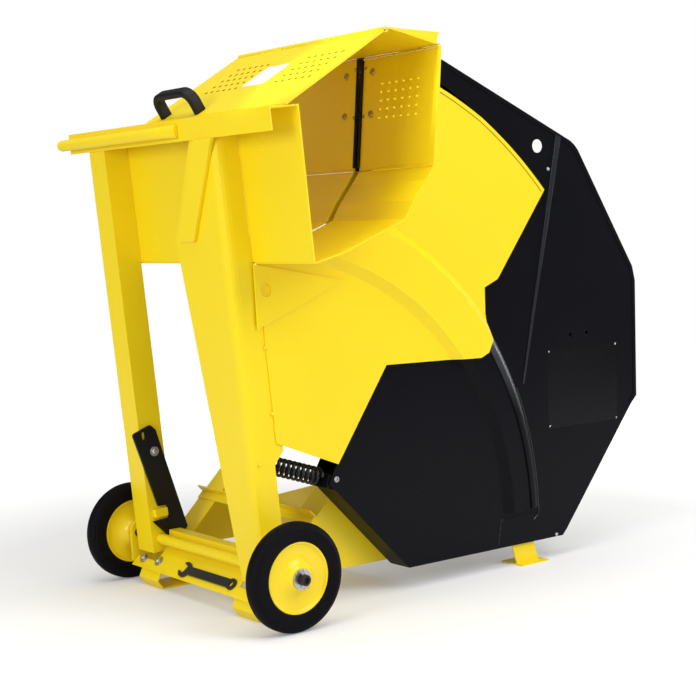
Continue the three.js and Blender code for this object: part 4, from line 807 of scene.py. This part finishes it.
# X, way up the wall, and radius of each head
SLOT_BOLTS = ((-167, 185, LARGE_HEAD), (-86.5, 187, LARGE_HEAD), (-168, 108, LARGE_HEAD),
              (-87, 107, LARGE_HEAD), (-139, 196, SMALL_HEAD), (-107.5, 195, SMALL_HEAD),
              (-139, 104, SMALL_HEAD), (-107.5, 104, SMALL_HEAD))
slot_bolts = [placed(dome(radius, radius * 0.6), wall_foot + Vector((x, 0, 0)) + wall_run * along,
                     (1, 0, 0), wall_run) for x, along, radius in SLOT_BOLTS]
bright_zinc = plated_metal("bright_zinc_plate", rgb(0.50, 0.48, 0.44), stain=rgb(0.20, 0.17, 0.12),
                           roughness=0.06)
piece("slot_bolts", joined(*slot_bolts), "cradle", bright_zinc, smooth=60)
LINING_X = -133.9
LINING_THICK = 1.2
LINING_FROM, LINING_TO = 3.2, 22
LINING_LOW, LINING_TOP = 2, 212
lining = cut_plate([(LINING_FROM, LINING_LOW), (LINING_TO, LINING_LOW), (LINING_TO, LINING_TOP),
                    (LINING_FROM, LINING_TOP)], LINING_THICK)
piece("liner_flange", placed(lining, wall_foot + Vector((LINING_X, 0, 0)),
                             wall_run.cross((1, 0, 0)), wall_run), "cradle", handle_plastic,
      smooth=0)
coat_node("slot_liner", handle_plastic, edge=0.3)

# Rivets
# Flat rivet heads, painted over, show where brackets are fixed behind the front panel, the guard leg
# and the near guard.
PANEL_FRONT = 31.3
LEG_FRONT = -22
GUARD_FACE = -81
PANEL_RIVETS = ((-414, 768), (-416, 692), (-416, 611), (-305, 768), (-308, 694), (-23, 766),
                (-22, 689), (-22, 612))
GUARD_RIVETS = ((9, 507), (20, 385))
FRONT_RIVET = (-131, LEG_FRONT, 245)
SIDE_RIVET = (GUARD_FACE - 0.3, -3, 201)
panel_rivet = dome(radius=2.6, height=1.1, sides=16)
leg_rivet = dome(radius=3.6, height=1.6, sides=18)
guard_rivet = dome(radius=3.4, height=1.4, sides=18)
rivets = [placed(panel_rivet, hung(x, PANEL_FRONT, z), (1, 0, 0), hang_z) for x, z in PANEL_RIVETS]
rivets.append(placed(leg_rivet, hung(*FRONT_RIVET), (1, 0, 0), hang_z))
rivets.append(placed(leg_rivet, hung(*SIDE_RIVET), (0, 1, 0), (0, 0, 1)))
rivets += [placed(guard_rivet, (GUARD_FACE, y, z), (0, 1, 0), (0, 0, 1)) for y, z in GUARD_RIVETS]
piece("cradle_rivets", joined(*rivets), "cradle", yellow_paint, smooth=60)

# Cross plate bolts and anchor bolt
# Two zinc-plated hexagon bolts with washers hold the cross plate to the left bracket. A small socket
# bolt on a washer holds the block that anchors the return spring.


def washer(outer, inner, thick):
    return turned([(inner, 0), (outer, 0), (outer, thick - 0.3), (outer - 0.3, thick),
                   (inner, thick)], sides=40)


BOLT_WASHER_THICK = 1.6
HEAD_SEAT = 1.4
SOCKET_DEPTH = 2


def socket_bolt(radius, height, socket):
    """A dome head with a round socket, on a washer."""
    floor = height - SOCKET_DEPTH
    head = turned([(0, HEAD_SEAT), (radius, HEAD_SEAT), (radius, height * 0.45),
                   (radius * 0.86, height * 0.75), (socket + 0.9, height), (socket, height),
                   (socket, floor), (0, floor)], sides=40)
    return joined(washer(radius * 1.5, radius * 0.5, BOLT_WASHER_THICK), head)


PLATE_SLOPE = Vector((0, 1, 1)).normalized()
PLATE_RISE = 58.1
PLATE_BOLTS = ((-519, -7), (-464, -5))
HEXAGON_RADIUS = 7
HEXAGON_TOP = 7.2
hexagon_head = turned([(0, HEAD_SEAT), (HEXAGON_RADIUS, HEAD_SEAT), (HEXAGON_RADIUS, HEXAGON_TOP - 0.7),
                       (HEXAGON_RADIUS - 1, HEXAGON_TOP), (0, HEXAGON_TOP)], sides=6)
plate_washer = washer(outer=11, inner=4, thick=BOLT_WASHER_THICK)
plate_bolts = [placed(joined(plate_washer, hexagon_head), (x, y, y + PLATE_RISE), (1, 0, 0),
                      PLATE_SLOPE) for x, y in PLATE_BOLTS]
piece("cross_plate_bolts", joined(*plate_bolts), "frame", zinc, smooth=35, edge=0.4)
ANCHOR_SPOT = (-88, 167.8, 244.9)
anchor_head = socket_bolt(radius=3.8, height=3.4, socket=1.7)
anchor_bolt = placed(anchor_head, ANCHOR_SPOT, (0, 1, 0), (0, 0, 1))
piece("anchor_bolt", anchor_bolt, "frame", zinc, smooth=45)

# Weld runs
# The trough, the hood's rear slope and the legs are joined by short runs of weld, painted over. The
# runs under the ridge are rough, and coloured paler and glossier than the coat round them.


def weld(start, end, radius, up=(0, 0, 1), pitch=6):
    """A run of weld whose thickness rises and falls along it."""
    start, end = Vector(start), Vector(end)
    count = max(4, 2 * round((end - start).length / pitch))
    path = [start.lerp(end, i / count) for i in range(count + 1)]
    scales = [((0.35, 0.35) if i in (0, count) else ((1, 1) if i % 2 else (0.78, 0.72)))
              for i in range(count + 1)]
    return swept(path, disc_section(radius, 8), up, scales)


TROUGH_CORNER = (319.8, 706.9)
TROUGH_RUN = 78
TROUGH_RUN_STARTS = (-548, -470, -392, -314, -211, -113, -53, 20)
welds = [weld(hung(x, *TROUGH_CORNER), hung(x + TROUGH_RUN, *TROUGH_CORNER), 2.0, pitch=13)
         for x in TROUGH_RUN_STARTS]
# Both ends, radius and upper side of each run
PANEL_RUNS = (((-84.5, 31, 612), (-84.5, 31, 826), 1.6, (1, 0, 0)),
              ((-234, -22.5, 611.5), (-178, -22.5, 611.5), 1.8, (0, 0, 1)),
              ((-139, -26, 793.5), (-83, -26, 793.5), 1.5, (0, 0, 1)))
welds += [weld(hung(*start), hung(*end), radius, up) for start, end, radius, up in PANEL_RUNS]
piece("cradle_welds", joined(*welds), "cradle", yellow_paint, smooth=60)
HOOD_CORNER = (356.4, 914.4)
# X, length and radius of each run
HOOD_RUNS = ((-160, 14, 2.0), (-113, 44, 2.4), (-62, 38, 1.9), (-20, 56, 1.5), (40, 24, 1.9),
             (66, 30, 1.3))
# The runs under the ridge are given a paler, glossier yellow than the coat.
pale_weld_coat = powder_coat("pale_ridge_weld_colour", rgb(0.99, 0.86, 0.22), wear_and_sheen=rgb(0.99, 0.92, 0.5),
                        dusty=rgb(0.45, 0.27, 0.02), roughness=0.25, shine=0.6)
hood_welds = [weld(hung(x, *HOOD_CORNER), hung(x + length, *HOOD_CORNER), radius)
              for x, length, radius in HOOD_RUNS]
piece("ridge_welds", joined(*hood_welds), "cradle", pale_weld_coat, smooth=60)

# Casing edge folds
# The casing's near panels are folded back on themselves along their outer edges. The fold shows as a
# narrow raised band; inside it a thin near-black strip stands for the gap as painted shade.
CASING_HEIGHT = 1069
CASING_FACE = -88
EDGE_SHARES = ((0.379, 0.9975), (0.436, 0.975), (0.768, 0.835), (0.779, 0.8275), (0.789, 0.8175),
               (0.949, 0.5785), (0.957, 0.549), (0.958, 0.3075), (0.941, 0.2905))
FOLD_NEAR, FOLD_FAR = 0.6, 9
FOLD_THICK = 1.1
GAP_NEAR, GAP_FAR = 9.2, 11.4
GAP_THICK = 0.15


def beside(path, amount):
    """A path moved to its own right by an amount."""
    moved = []
    for i, spot in enumerate(path):
        spot = Vector(spot)
        into = (spot - Vector(path[i - 1])).normalized() if i else None
        out = (Vector(path[i + 1]) - spot).normalized() if i + 1 < len(path) else None
        into, out = into or out, out or into
        first, second = Vector((into.y, -into.x)), Vector((out.y, -out.x))
        mitre = (first + second).normalized()
        moved.append(tuple(spot + mitre * (amount / mitre.dot(first))))
    return moved


def on_face(outline, thick, face_x):
    """A flat piece lying on a plate that faces right, from its outline in Y and Z."""
    return placed(cut_plate(outline, thick), (face_x, 0, 0), (0, 1, 0), (0, 0, 1))


def edge_strip(near, far, thick):
    """A strip of the casing's face, between two distances from its outer edge."""
    return on_face([*beside(edge_path, near), *reversed(beside(edge_path, far))], thick, CASING_FACE)


edge_path = [(y * CASING_HEIGHT, z * CASING_HEIGHT) for y, z in EDGE_SHARES]
piece("casing_edge_fold", edge_strip(FOLD_NEAR, FOLD_FAR, FOLD_THICK), "frame", black_paint,
      smooth=30, edge=0.4)
# The strip inside the fold is painted shade, near black.
gap_painted_shade, tree = open_material("shadow_gap")
gap_cloud = ramp(tree, noise(tree, object_place(tree), scale=60.0), 0.3, 0.8)
close_material(gap_painted_shade, tree, {
    "Base Color": gap_cloud.mix(rgb(0.0010, 0.0010, 0.0012), rgb(0.003, 0.003, 0.0035)),
    "Roughness": 0.8, "Specular IOR Level": 0.1})
piece("casing_edge_painted_shade", edge_strip(GAP_NEAR, GAP_FAR, GAP_THICK), "frame", gap_painted_shade,
      smooth=0)

# Casing joint
# The two near panels meet in a lapped joint that tapers downwards and shines more than the plates
# beside it; its coat is also made lighter than theirs as a painted highlight. Beads round the foot of
# the pressed ridge belong to the same panel.
JOINT_TOP, JOINT_LOW = (784, 901), (668, 384)
JOINT_THICK = 1.6


def about_pivot(radius, degrees):
    """Y and Z at a distance from the cradle's pivot, turned from upright towards the casing."""
    angle = math.radians(degrees)
    return (PIVOT_Y + radius * math.sin(angle), PIVOT_Z + radius * math.cos(angle))


def bead(outline, radius):
    path = [(CASING_FACE + 0.2, y, z) for y, z in outline]
    return swept(path, disc_section(radius, 10), (1, 0, 0))


joint = on_face([(JOINT_LOW[0] - 2.5, JOINT_LOW[1]), (JOINT_LOW[0] + 2.5, JOINT_LOW[1]),
                 (JOINT_TOP[0] + 7, JOINT_TOP[1]), (JOINT_TOP[0] - 8, JOINT_TOP[1] + 4)],
                JOINT_THICK, CASING_FACE)
outer_bead = [about_pivot(696, degrees) for degrees in (66, 69, 72, 75, 78, 81, 84, 87, 89)]
outer_bead += [(704, 100), (692, 92)]
inner_bead = [about_pivot(590, 89), (596, 100), (588, 52)]
# Lighter than the casing's black: painted highlight along the joint and beads.
joint_black_and_highlight = powder_coat("joint_painted_highlight", rgb(0.011, 0.012, 0.016), wear_and_sheen=rgb(0.05, 0.05, 0.06),
                          dusty=rgb(0.018, 0.019, 0.024), roughness=0.20, shine=0.45)
piece("casing_joint", joined(joint, bead(outer_bead, 1.5), bead(inner_bead, 1.2)), "frame",
      joint_black_and_highlight, smooth=30, edge=0.5)

# Casing ridge
# The curved ridge pressed into the near front panel makes room for the swinging guard. Its outer
# shoulder is rolled round, and its colour grades to grey towards the top as a painted highlight.


def rolled(profile, steps):
    """A section of radius and X carried about the cradle's pivot through a list of degrees."""
    points = [Vector((x, *about_pivot(radius, a))) for a in steps for radius, x in profile]
    count = len(profile)
    faces = [tuple(reversed(range(count))), tuple(range(len(points) - count, len(points)))]
    for i in range(0, len(points) - count, count):
        for k in range(count):
            j = (k + 1) % count
            faces.append((i + k, i + j, i + count + j, i + count + k))
    return points, faces


SHOULDER = [(660, -71.4), (666, -71.0), (671, -71.5), (676, -73.0), (680, -74.9), (684, -77.6),
            (688, -81.0), (691, -84.4), (694, -88.2), (660, -88.2)]
RIDGE_FROM, RIDGE_TO = 47.4, 87.8
RIDGE_STEPS = 36
HIGHLIGHT_FROM, HIGHLIGHT_TO = 0.33, 0.56
ridge_steps = [RIDGE_FROM + (RIDGE_TO - RIDGE_FROM) * i / RIDGE_STEPS
               for i in range(RIDGE_STEPS + 1)]
# The grey ramp by height is a painted highlight on the ridge's shoulder.
ridge_black_and_highlight, tree = open_material("ridge_painted_highlight")
place = object_place(tree)
height = tree.add("ShaderNodeSeparateXYZ", None, {0: place}, 2)
grey = ramp(tree, height, HIGHLIGHT_FROM, HIGHLIGHT_TO) * (0.7 + noise(tree, place, scale=30.0) * 0.6)
close_material(ridge_black_and_highlight, tree, {
    "Base Color": grey.mix(BLACK, rgb(0.075, 0.078, 0.09)), "Roughness": 0.36 - grey * 0.1,
    "Specular IOR Level": 0.09})
piece("ridge_roll", rolled(SHOULDER, ridge_steps), "frame", ridge_black_and_highlight, smooth=50)

# Cover screws, blank plate and labels
# A few zinc-plated screws hold the casing's cover and a thin plate, coated black and left blank. A
# round film label on the casing and a square one on the lid are blank too.
# Y, Z, radius and lift off the casing's face of each screw
COVER_SCREWS = ((752, 833, 4, 0), (955, 449, 2.6, 0.4), (762, 49, 4, 0), (957, 284, 2, 0.4),
                (746, 286, 2, 0.4), (746, 446, 2, 0.4))
screws = [placed(dome(radius, radius * 0.5, sides=20), (CASING_FACE + lift, y, z), (0, 1, 0),
                 (0, 0, 1)) for y, z, radius, lift in COVER_SCREWS]
piece("cover_screws", joined(*screws), "frame", zinc, smooth=60)
PLATE_LOW, PLATE_HIGH = (742, 281), (959, 451)
PLATE_THICK = 0.2
plate_black = powder_coat("blank_plate", rgb(0.0036, 0.0036, 0.0050), wear_and_sheen=rgb(0.02, 0.02, 0.024),
                          dusty=rgb(0.006, 0.006, 0.0076), roughness=0.18, shine=0.15)
blank_plate = on_face([PLATE_LOW, (PLATE_HIGH[0], PLATE_LOW[1]), PLATE_HIGH,
                       (PLATE_LOW[0], PLATE_HIGH[1])], PLATE_THICK, CASING_FACE)
piece("blank_plate", blank_plate, "frame", plate_black, smooth=0)


def printed_film(name, tint, shade):
    material, tree = open_material(name)
    cloud = noise(tree, object_place(tree), scale=55.0, detail=4.0)
    return close_material(material, tree, {
        "Base Color": (cloud * 0.4).mix(tint, shade), "Roughness": 0.26 + cloud * 0.1})


FILM_THICK = 0.3
ROUND_LABEL_SPOT = (CASING_FACE, 720, 880.6)
ROUND_LABEL_RADIUS = 14
label_film = printed_film("label_film", rgb(0.92, 0.92, 0.92), shade=rgb(0.84, 0.84, 0.84))
piece("round_label", placed(cut_plate(disc_section(ROUND_LABEL_RADIUS, 48), FILM_THICK),
                            ROUND_LABEL_SPOT, (0, 1, 0), (0, 0, 1)), "frame", label_film,
      smooth=0)
LABEL_X, LABEL_ALONG = -121, 136
LABEL_HALF_WIDE, LABEL_HALF_LONG = 35, 37
LABEL_CORNER = 5
label_flat = [(u * (LABEL_HALF_WIDE - LABEL_CORNER) + LABEL_CORNER * math.cos(math.radians(a)),
               v * (LABEL_HALF_LONG - LABEL_CORNER) + LABEL_CORNER * math.sin(math.radians(a)))
              for u, v, start in ((1, 1, 0), (-1, 1, 90), (-1, -1, 180), (1, -1, 270))
              for a in range(start, start + 91, 15)]
piece("lid_label", placed(cut_plate(label_flat, FILM_THICK), LID_FOOT + Vector((LABEL_X, 0, 0))
                          + lid_run * LABEL_ALONG, (1, 0, 0), lid_run), "lid", label_film,
      smooth=0)

# Near guard hem
# The guard plate's round rim is folded over on itself and painted. The fold shows as a narrow raised
# band, with a thin dark strip of painted shade inside it.
RIM_FROM, RIM_TO = 17.5, 45.9
RIM_STEPS = 24
RIM_RADIUS = 1001
RIM_DRAWN_IN = 13
DRAWN_FROM, DRAWN_TO = 33, 16.3
HEM_NEAR, HEM_FAR = 0.6, 8.6
HEM_THICK = 1.0
SHADE_NEAR, SHADE_FAR = 8.7, 10.2
SHADE_THICK = 0.12


def guard_rim(inset):
    """The guard's rim, which is drawn in towards its top, moved inwards by an inset."""
    degrees = [RIM_FROM + (RIM_TO - RIM_FROM) * i / RIM_STEPS for i in range(RIM_STEPS + 1)]
    return [about_pivot(RIM_RADIUS - RIM_DRAWN_IN * max(0, (DRAWN_FROM - a) / (DRAWN_FROM - DRAWN_TO))
                        - inset, a) for a in degrees]


def rim_band(near, far, thick):
    return on_face([*guard_rim(near), *reversed(guard_rim(far))], thick, GUARD_FACE)


piece("guard_hem", rim_band(HEM_NEAR, HEM_FAR, HEM_THICK), "cradle", yellow_paint,
      smooth=30, edge=0.35)
# The strip inside the hem is painted shade.
fold_shade = powder_coat("fold_shadow", rgb(0.30, 0.20, 0.004), wear_and_sheen=rgb(0.4, 0.28, 0.01),
                         dusty=rgb(0.25, 0.17, 0.004), roughness=0.5, shine=0.3)
piece("guard_hem_painted_shade", rim_band(SHADE_NEAR, SHADE_FAR, SHADE_THICK), "cradle", fold_shade,
      smooth=0)

# Latch hook and its bolt
# The hook is a black plate cut from 5 mm steel with rounded corners, a slot and a notch that catches
# a tab on the left leg. It turns on a zinc-plated socket bolt with a washer.


def rounded(corners, radii, steps=6):
    """An outline whose corners are rounded by their radii."""
    outline = []
    for i, radius in enumerate(radii):
        here = Vector(corners[i])
        into = (Vector(corners[i - 1]) - here).normalized()
        out = (Vector(corners[(i + 1) % len(corners)]) - here).normalized()
        if not radius:
            outline.append(tuple(here))
            continue
        back = radius / math.tan(into.angle(out) / 2)
        start, end = here + into * back, here + out * back
        for k in range(steps + 1):
            share = k / steps
            outline.append(tuple(start * (1 - share) ** 2 + here * (2 * share * (1 - share))
                                 + end * share ** 2))
    return outline


HOOK_PIVOT = (5, 183)
HOOK_REACH = 180
HOOK_FROM, HOOK_TO = -479.7, -474.7
HOOK_SHARES = ((-0.25, 0.239), (-0.011, 0.306), (0.05, 0.239), (0.317, -0.944), (0.278, -0.994),
               (0.056, -1), (-0.122, -0.794), (0.089, -0.794), (0.078, -0.639), (-0.033, -0.633))
HOOK_CORNER_RADII = (7, 6, 6, 5, 5, 6, 2, 0, 0, 2)
HOOK_SLOT_SPOT = (HOOK_PIVOT[0] - 20, HOOK_PIVOT[1] + 36)
HOOK_SLOT_RADIUS = 3.9
HOOK_SLOT_HALF = 4.5
HOOK_BORE = 5.1
HOOK_SHANK = 4.8
SHANK_LENGTH = 10
HEAD_CLEARANCE = 0.3
hook_corners = [(HOOK_PIVOT[0] + y * HOOK_REACH, HOOK_PIVOT[1] + z * HOOK_REACH)
                for y, z in HOOK_SHARES]
slot_outline = [(HOOK_SLOT_SPOT[0] + HOOK_SLOT_RADIUS * math.cos(math.radians(a)),
                 HOOK_SLOT_SPOT[1] + HOOK_SLOT_RADIUS * math.sin(math.radians(a))
                 + (HOOK_SLOT_HALF if a < 180 else -HOOK_SLOT_HALF)) for a in range(0, 360, 15)]
bore_outline = [(HOOK_PIVOT[0] + u, HOOK_PIVOT[1] + v) for u, v in disc_section(HOOK_BORE, 32)]
hook_plate = cut_plate(rounded(hook_corners, HOOK_CORNER_RADII), HOOK_TO - HOOK_FROM,
                       [slot_outline, bore_outline])
hook_black = powder_coat("hook_black", rgb(0.0045, 0.0045, 0.0052), wear_and_sheen=rgb(0.03, 0.03, 0.034),
                         dusty=rgb(0.008, 0.008, 0.009), roughness=0.30, shine=0.3)
hook = piece("hook_plate", placed(hook_plate, hung(HOOK_FROM, 0, 0), hang_y, hang_z), "latch",
             hook_black, smooth=35, edge=0.4)
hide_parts("latch_hook")
shank = turned([(0, -SHANK_LENGTH), (HOOK_SHANK, -SHANK_LENGTH), (HOOK_SHANK, 1), (0, 1)], sides=32)
hook_head = socket_bolt(radius=6.6, height=6, socket=3)
bolt = piece("hook_bolt", placed(joined(shank, hook_head),
                                 hung(HOOK_TO + HEAD_CLEARANCE, *HOOK_PIVOT), hang_y, hang_z),
             "cradle", zinc, smooth=45)
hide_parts("latch_bolt")

# Wrench
# A forged steel wrench with an open jaw and a ring, blackened, kept on the cross plate so that the
# blade can be changed.
wrench_steel = enamel("wrench_steel", rgb(0.012, 0.012, 0.013), wear_and_sheen=rgb(0.05, 0.05, 0.05),
                      roughness=0.30)
coat_node("wrench", wrench_steel, edge=1.2)

# Floor and surround
# A pale matt floor that keeps the machine's soft shadow and brightens away from it, under an even
# white surround. What the machine mirrors of the surround is dimmer.
FLOOR_HALF = 2.6
SHADE_REACH, FLOOR_REACH = 0.9, 2.2
floor_mesh = bpy.data.meshes.new("floor")
floor_mesh.from_pydata([(-FLOOR_HALF, -FLOOR_HALF, 0), (FLOOR_HALF, -FLOOR_HALF, 0),
                        (FLOOR_HALF, FLOOR_HALF, 0), (-FLOOR_HALF, FLOOR_HALF, 0)], [],
                       [(0, 1, 2, 3)])
floor = bpy.data.objects.new("floor", floor_mesh)
bpy.context.scene.collection.objects.link(floor)
floor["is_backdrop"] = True
material, tree = open_material("pale_floor")
FLOOR_GREY = rgb(0.8, 0.8, 0.8)
matt = tree.add("ShaderNodeBsdfDiffuse", None, {"Color": FLOOR_GREY})
away = tree.add("ShaderNodeVectorMath", {"operation": "LENGTH"}, {0: object_place(tree)}, 1)
glow = ramp(tree, away, SHADE_REACH, FLOOR_REACH).mix(rgb(0.12, 0.12, 0.12), rgb(0.70, 0.70, 0.70))
lit = tree.add("ShaderNodeBsdfPrincipled", None, {
    "Base Color": FLOOR_GREY, "Roughness": 1.0, "Specular IOR Level": 0.0,
    "Emission Color": glow, "Emission Strength": 1.0})
seen = tree.add("ShaderNodeLightPath", None, None, 0)
shown = tree.add("ShaderNodeMixShader", None, {0: seen, 1: matt, 2: lit})
tree.add("ShaderNodeOutputMaterial", None, {"Surface": shown})
floor_mesh.materials.append(material)

AIR_STRENGTH = 0.50
MIRRORED_STRENGTH = 0.20
WHITE = rgb(1, 1, 1)
world = bpy.data.worlds.new("surround")
bpy.context.scene.world = world
world.use_nodes = True
world.node_tree.nodes.clear()
tree = Wire(world.node_tree)
seen = tree.add("ShaderNodeLightPath", None, None, 0)
mirrored = tree.add("ShaderNodeLightPath", None, None, 3)
air = tree.add("ShaderNodeBackground", None, {"Color": WHITE, "Strength": AIR_STRENGTH})
backdrop = tree.add("ShaderNodeBackground", None, {"Color": WHITE, "Strength": 1.0})
dim = tree.add("ShaderNodeBackground", None, {"Color": WHITE, "Strength": MIRRORED_STRENGTH})
unseen = tree.add("ShaderNodeMixShader", None, {0: mirrored, 1: air, 2: dim})
shown = tree.add("ShaderNodeMixShader", None, {0: seen, 1: unseen, 2: backdrop})
tree.add("ShaderNodeOutputWorld", None, {"Surface": shown})

# Lamps
# A broad soft lamp above, one from the operator's side, one from the upper right and a weak one
# behind. A narrow spot throws light through the lid's holes onto the back wall.


def lamp(name, place, aim, width, power, cone=0):
    """A square soft lamp, or a spot when it has a cone; metres, watts and degrees."""
    light = bpy.data.lights.new(name, "SPOT" if cone else "AREA")
    if cone:
        light.spot_size = math.radians(cone)
        light.spot_blend = 1.0
        light.shadow_soft_size = width
    else:
        light.size = width
    light.energy = power
    holder = bpy.data.objects.new(name, light)
    bpy.context.scene.collection.objects.link(holder)
    holder.location = place
    holder.rotation_mode = "QUATERNION"
    holder.rotation_quaternion = (Vector(aim) - Vector(place)).to_track_quat("-Z", "Y")


lamp("overhead", (0.6, -0.6, 3.4), aim=(0, 0, 0.5), width=2.6, power=50)
lamp("operator_side", (0.9, -3.4, 1.3), aim=(0, 0, 0.6), width=1.2, power=36)
lamp("upper_right", (3.0, 0.8, 2.6), aim=(0, 0, 0.6), width=2.0, power=62)
lamp("behind", (0.57, 4.1, 0.9), aim=(0.18, 0.17, 0.45), width=0.9, power=30)
SPOT_DISTANCE = 5
spot_run = Vector((-0.057, 0.976, -0.208))
spot_aim = at(6, 60, 1004)
lamp("hood_spot", spot_aim - spot_run * SPOT_DISTANCE, aim=spot_aim, width=0.018, power=1000, cone=3.0)
bpy.context.scene.view_settings.view_transform = "Standard"

low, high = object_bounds()
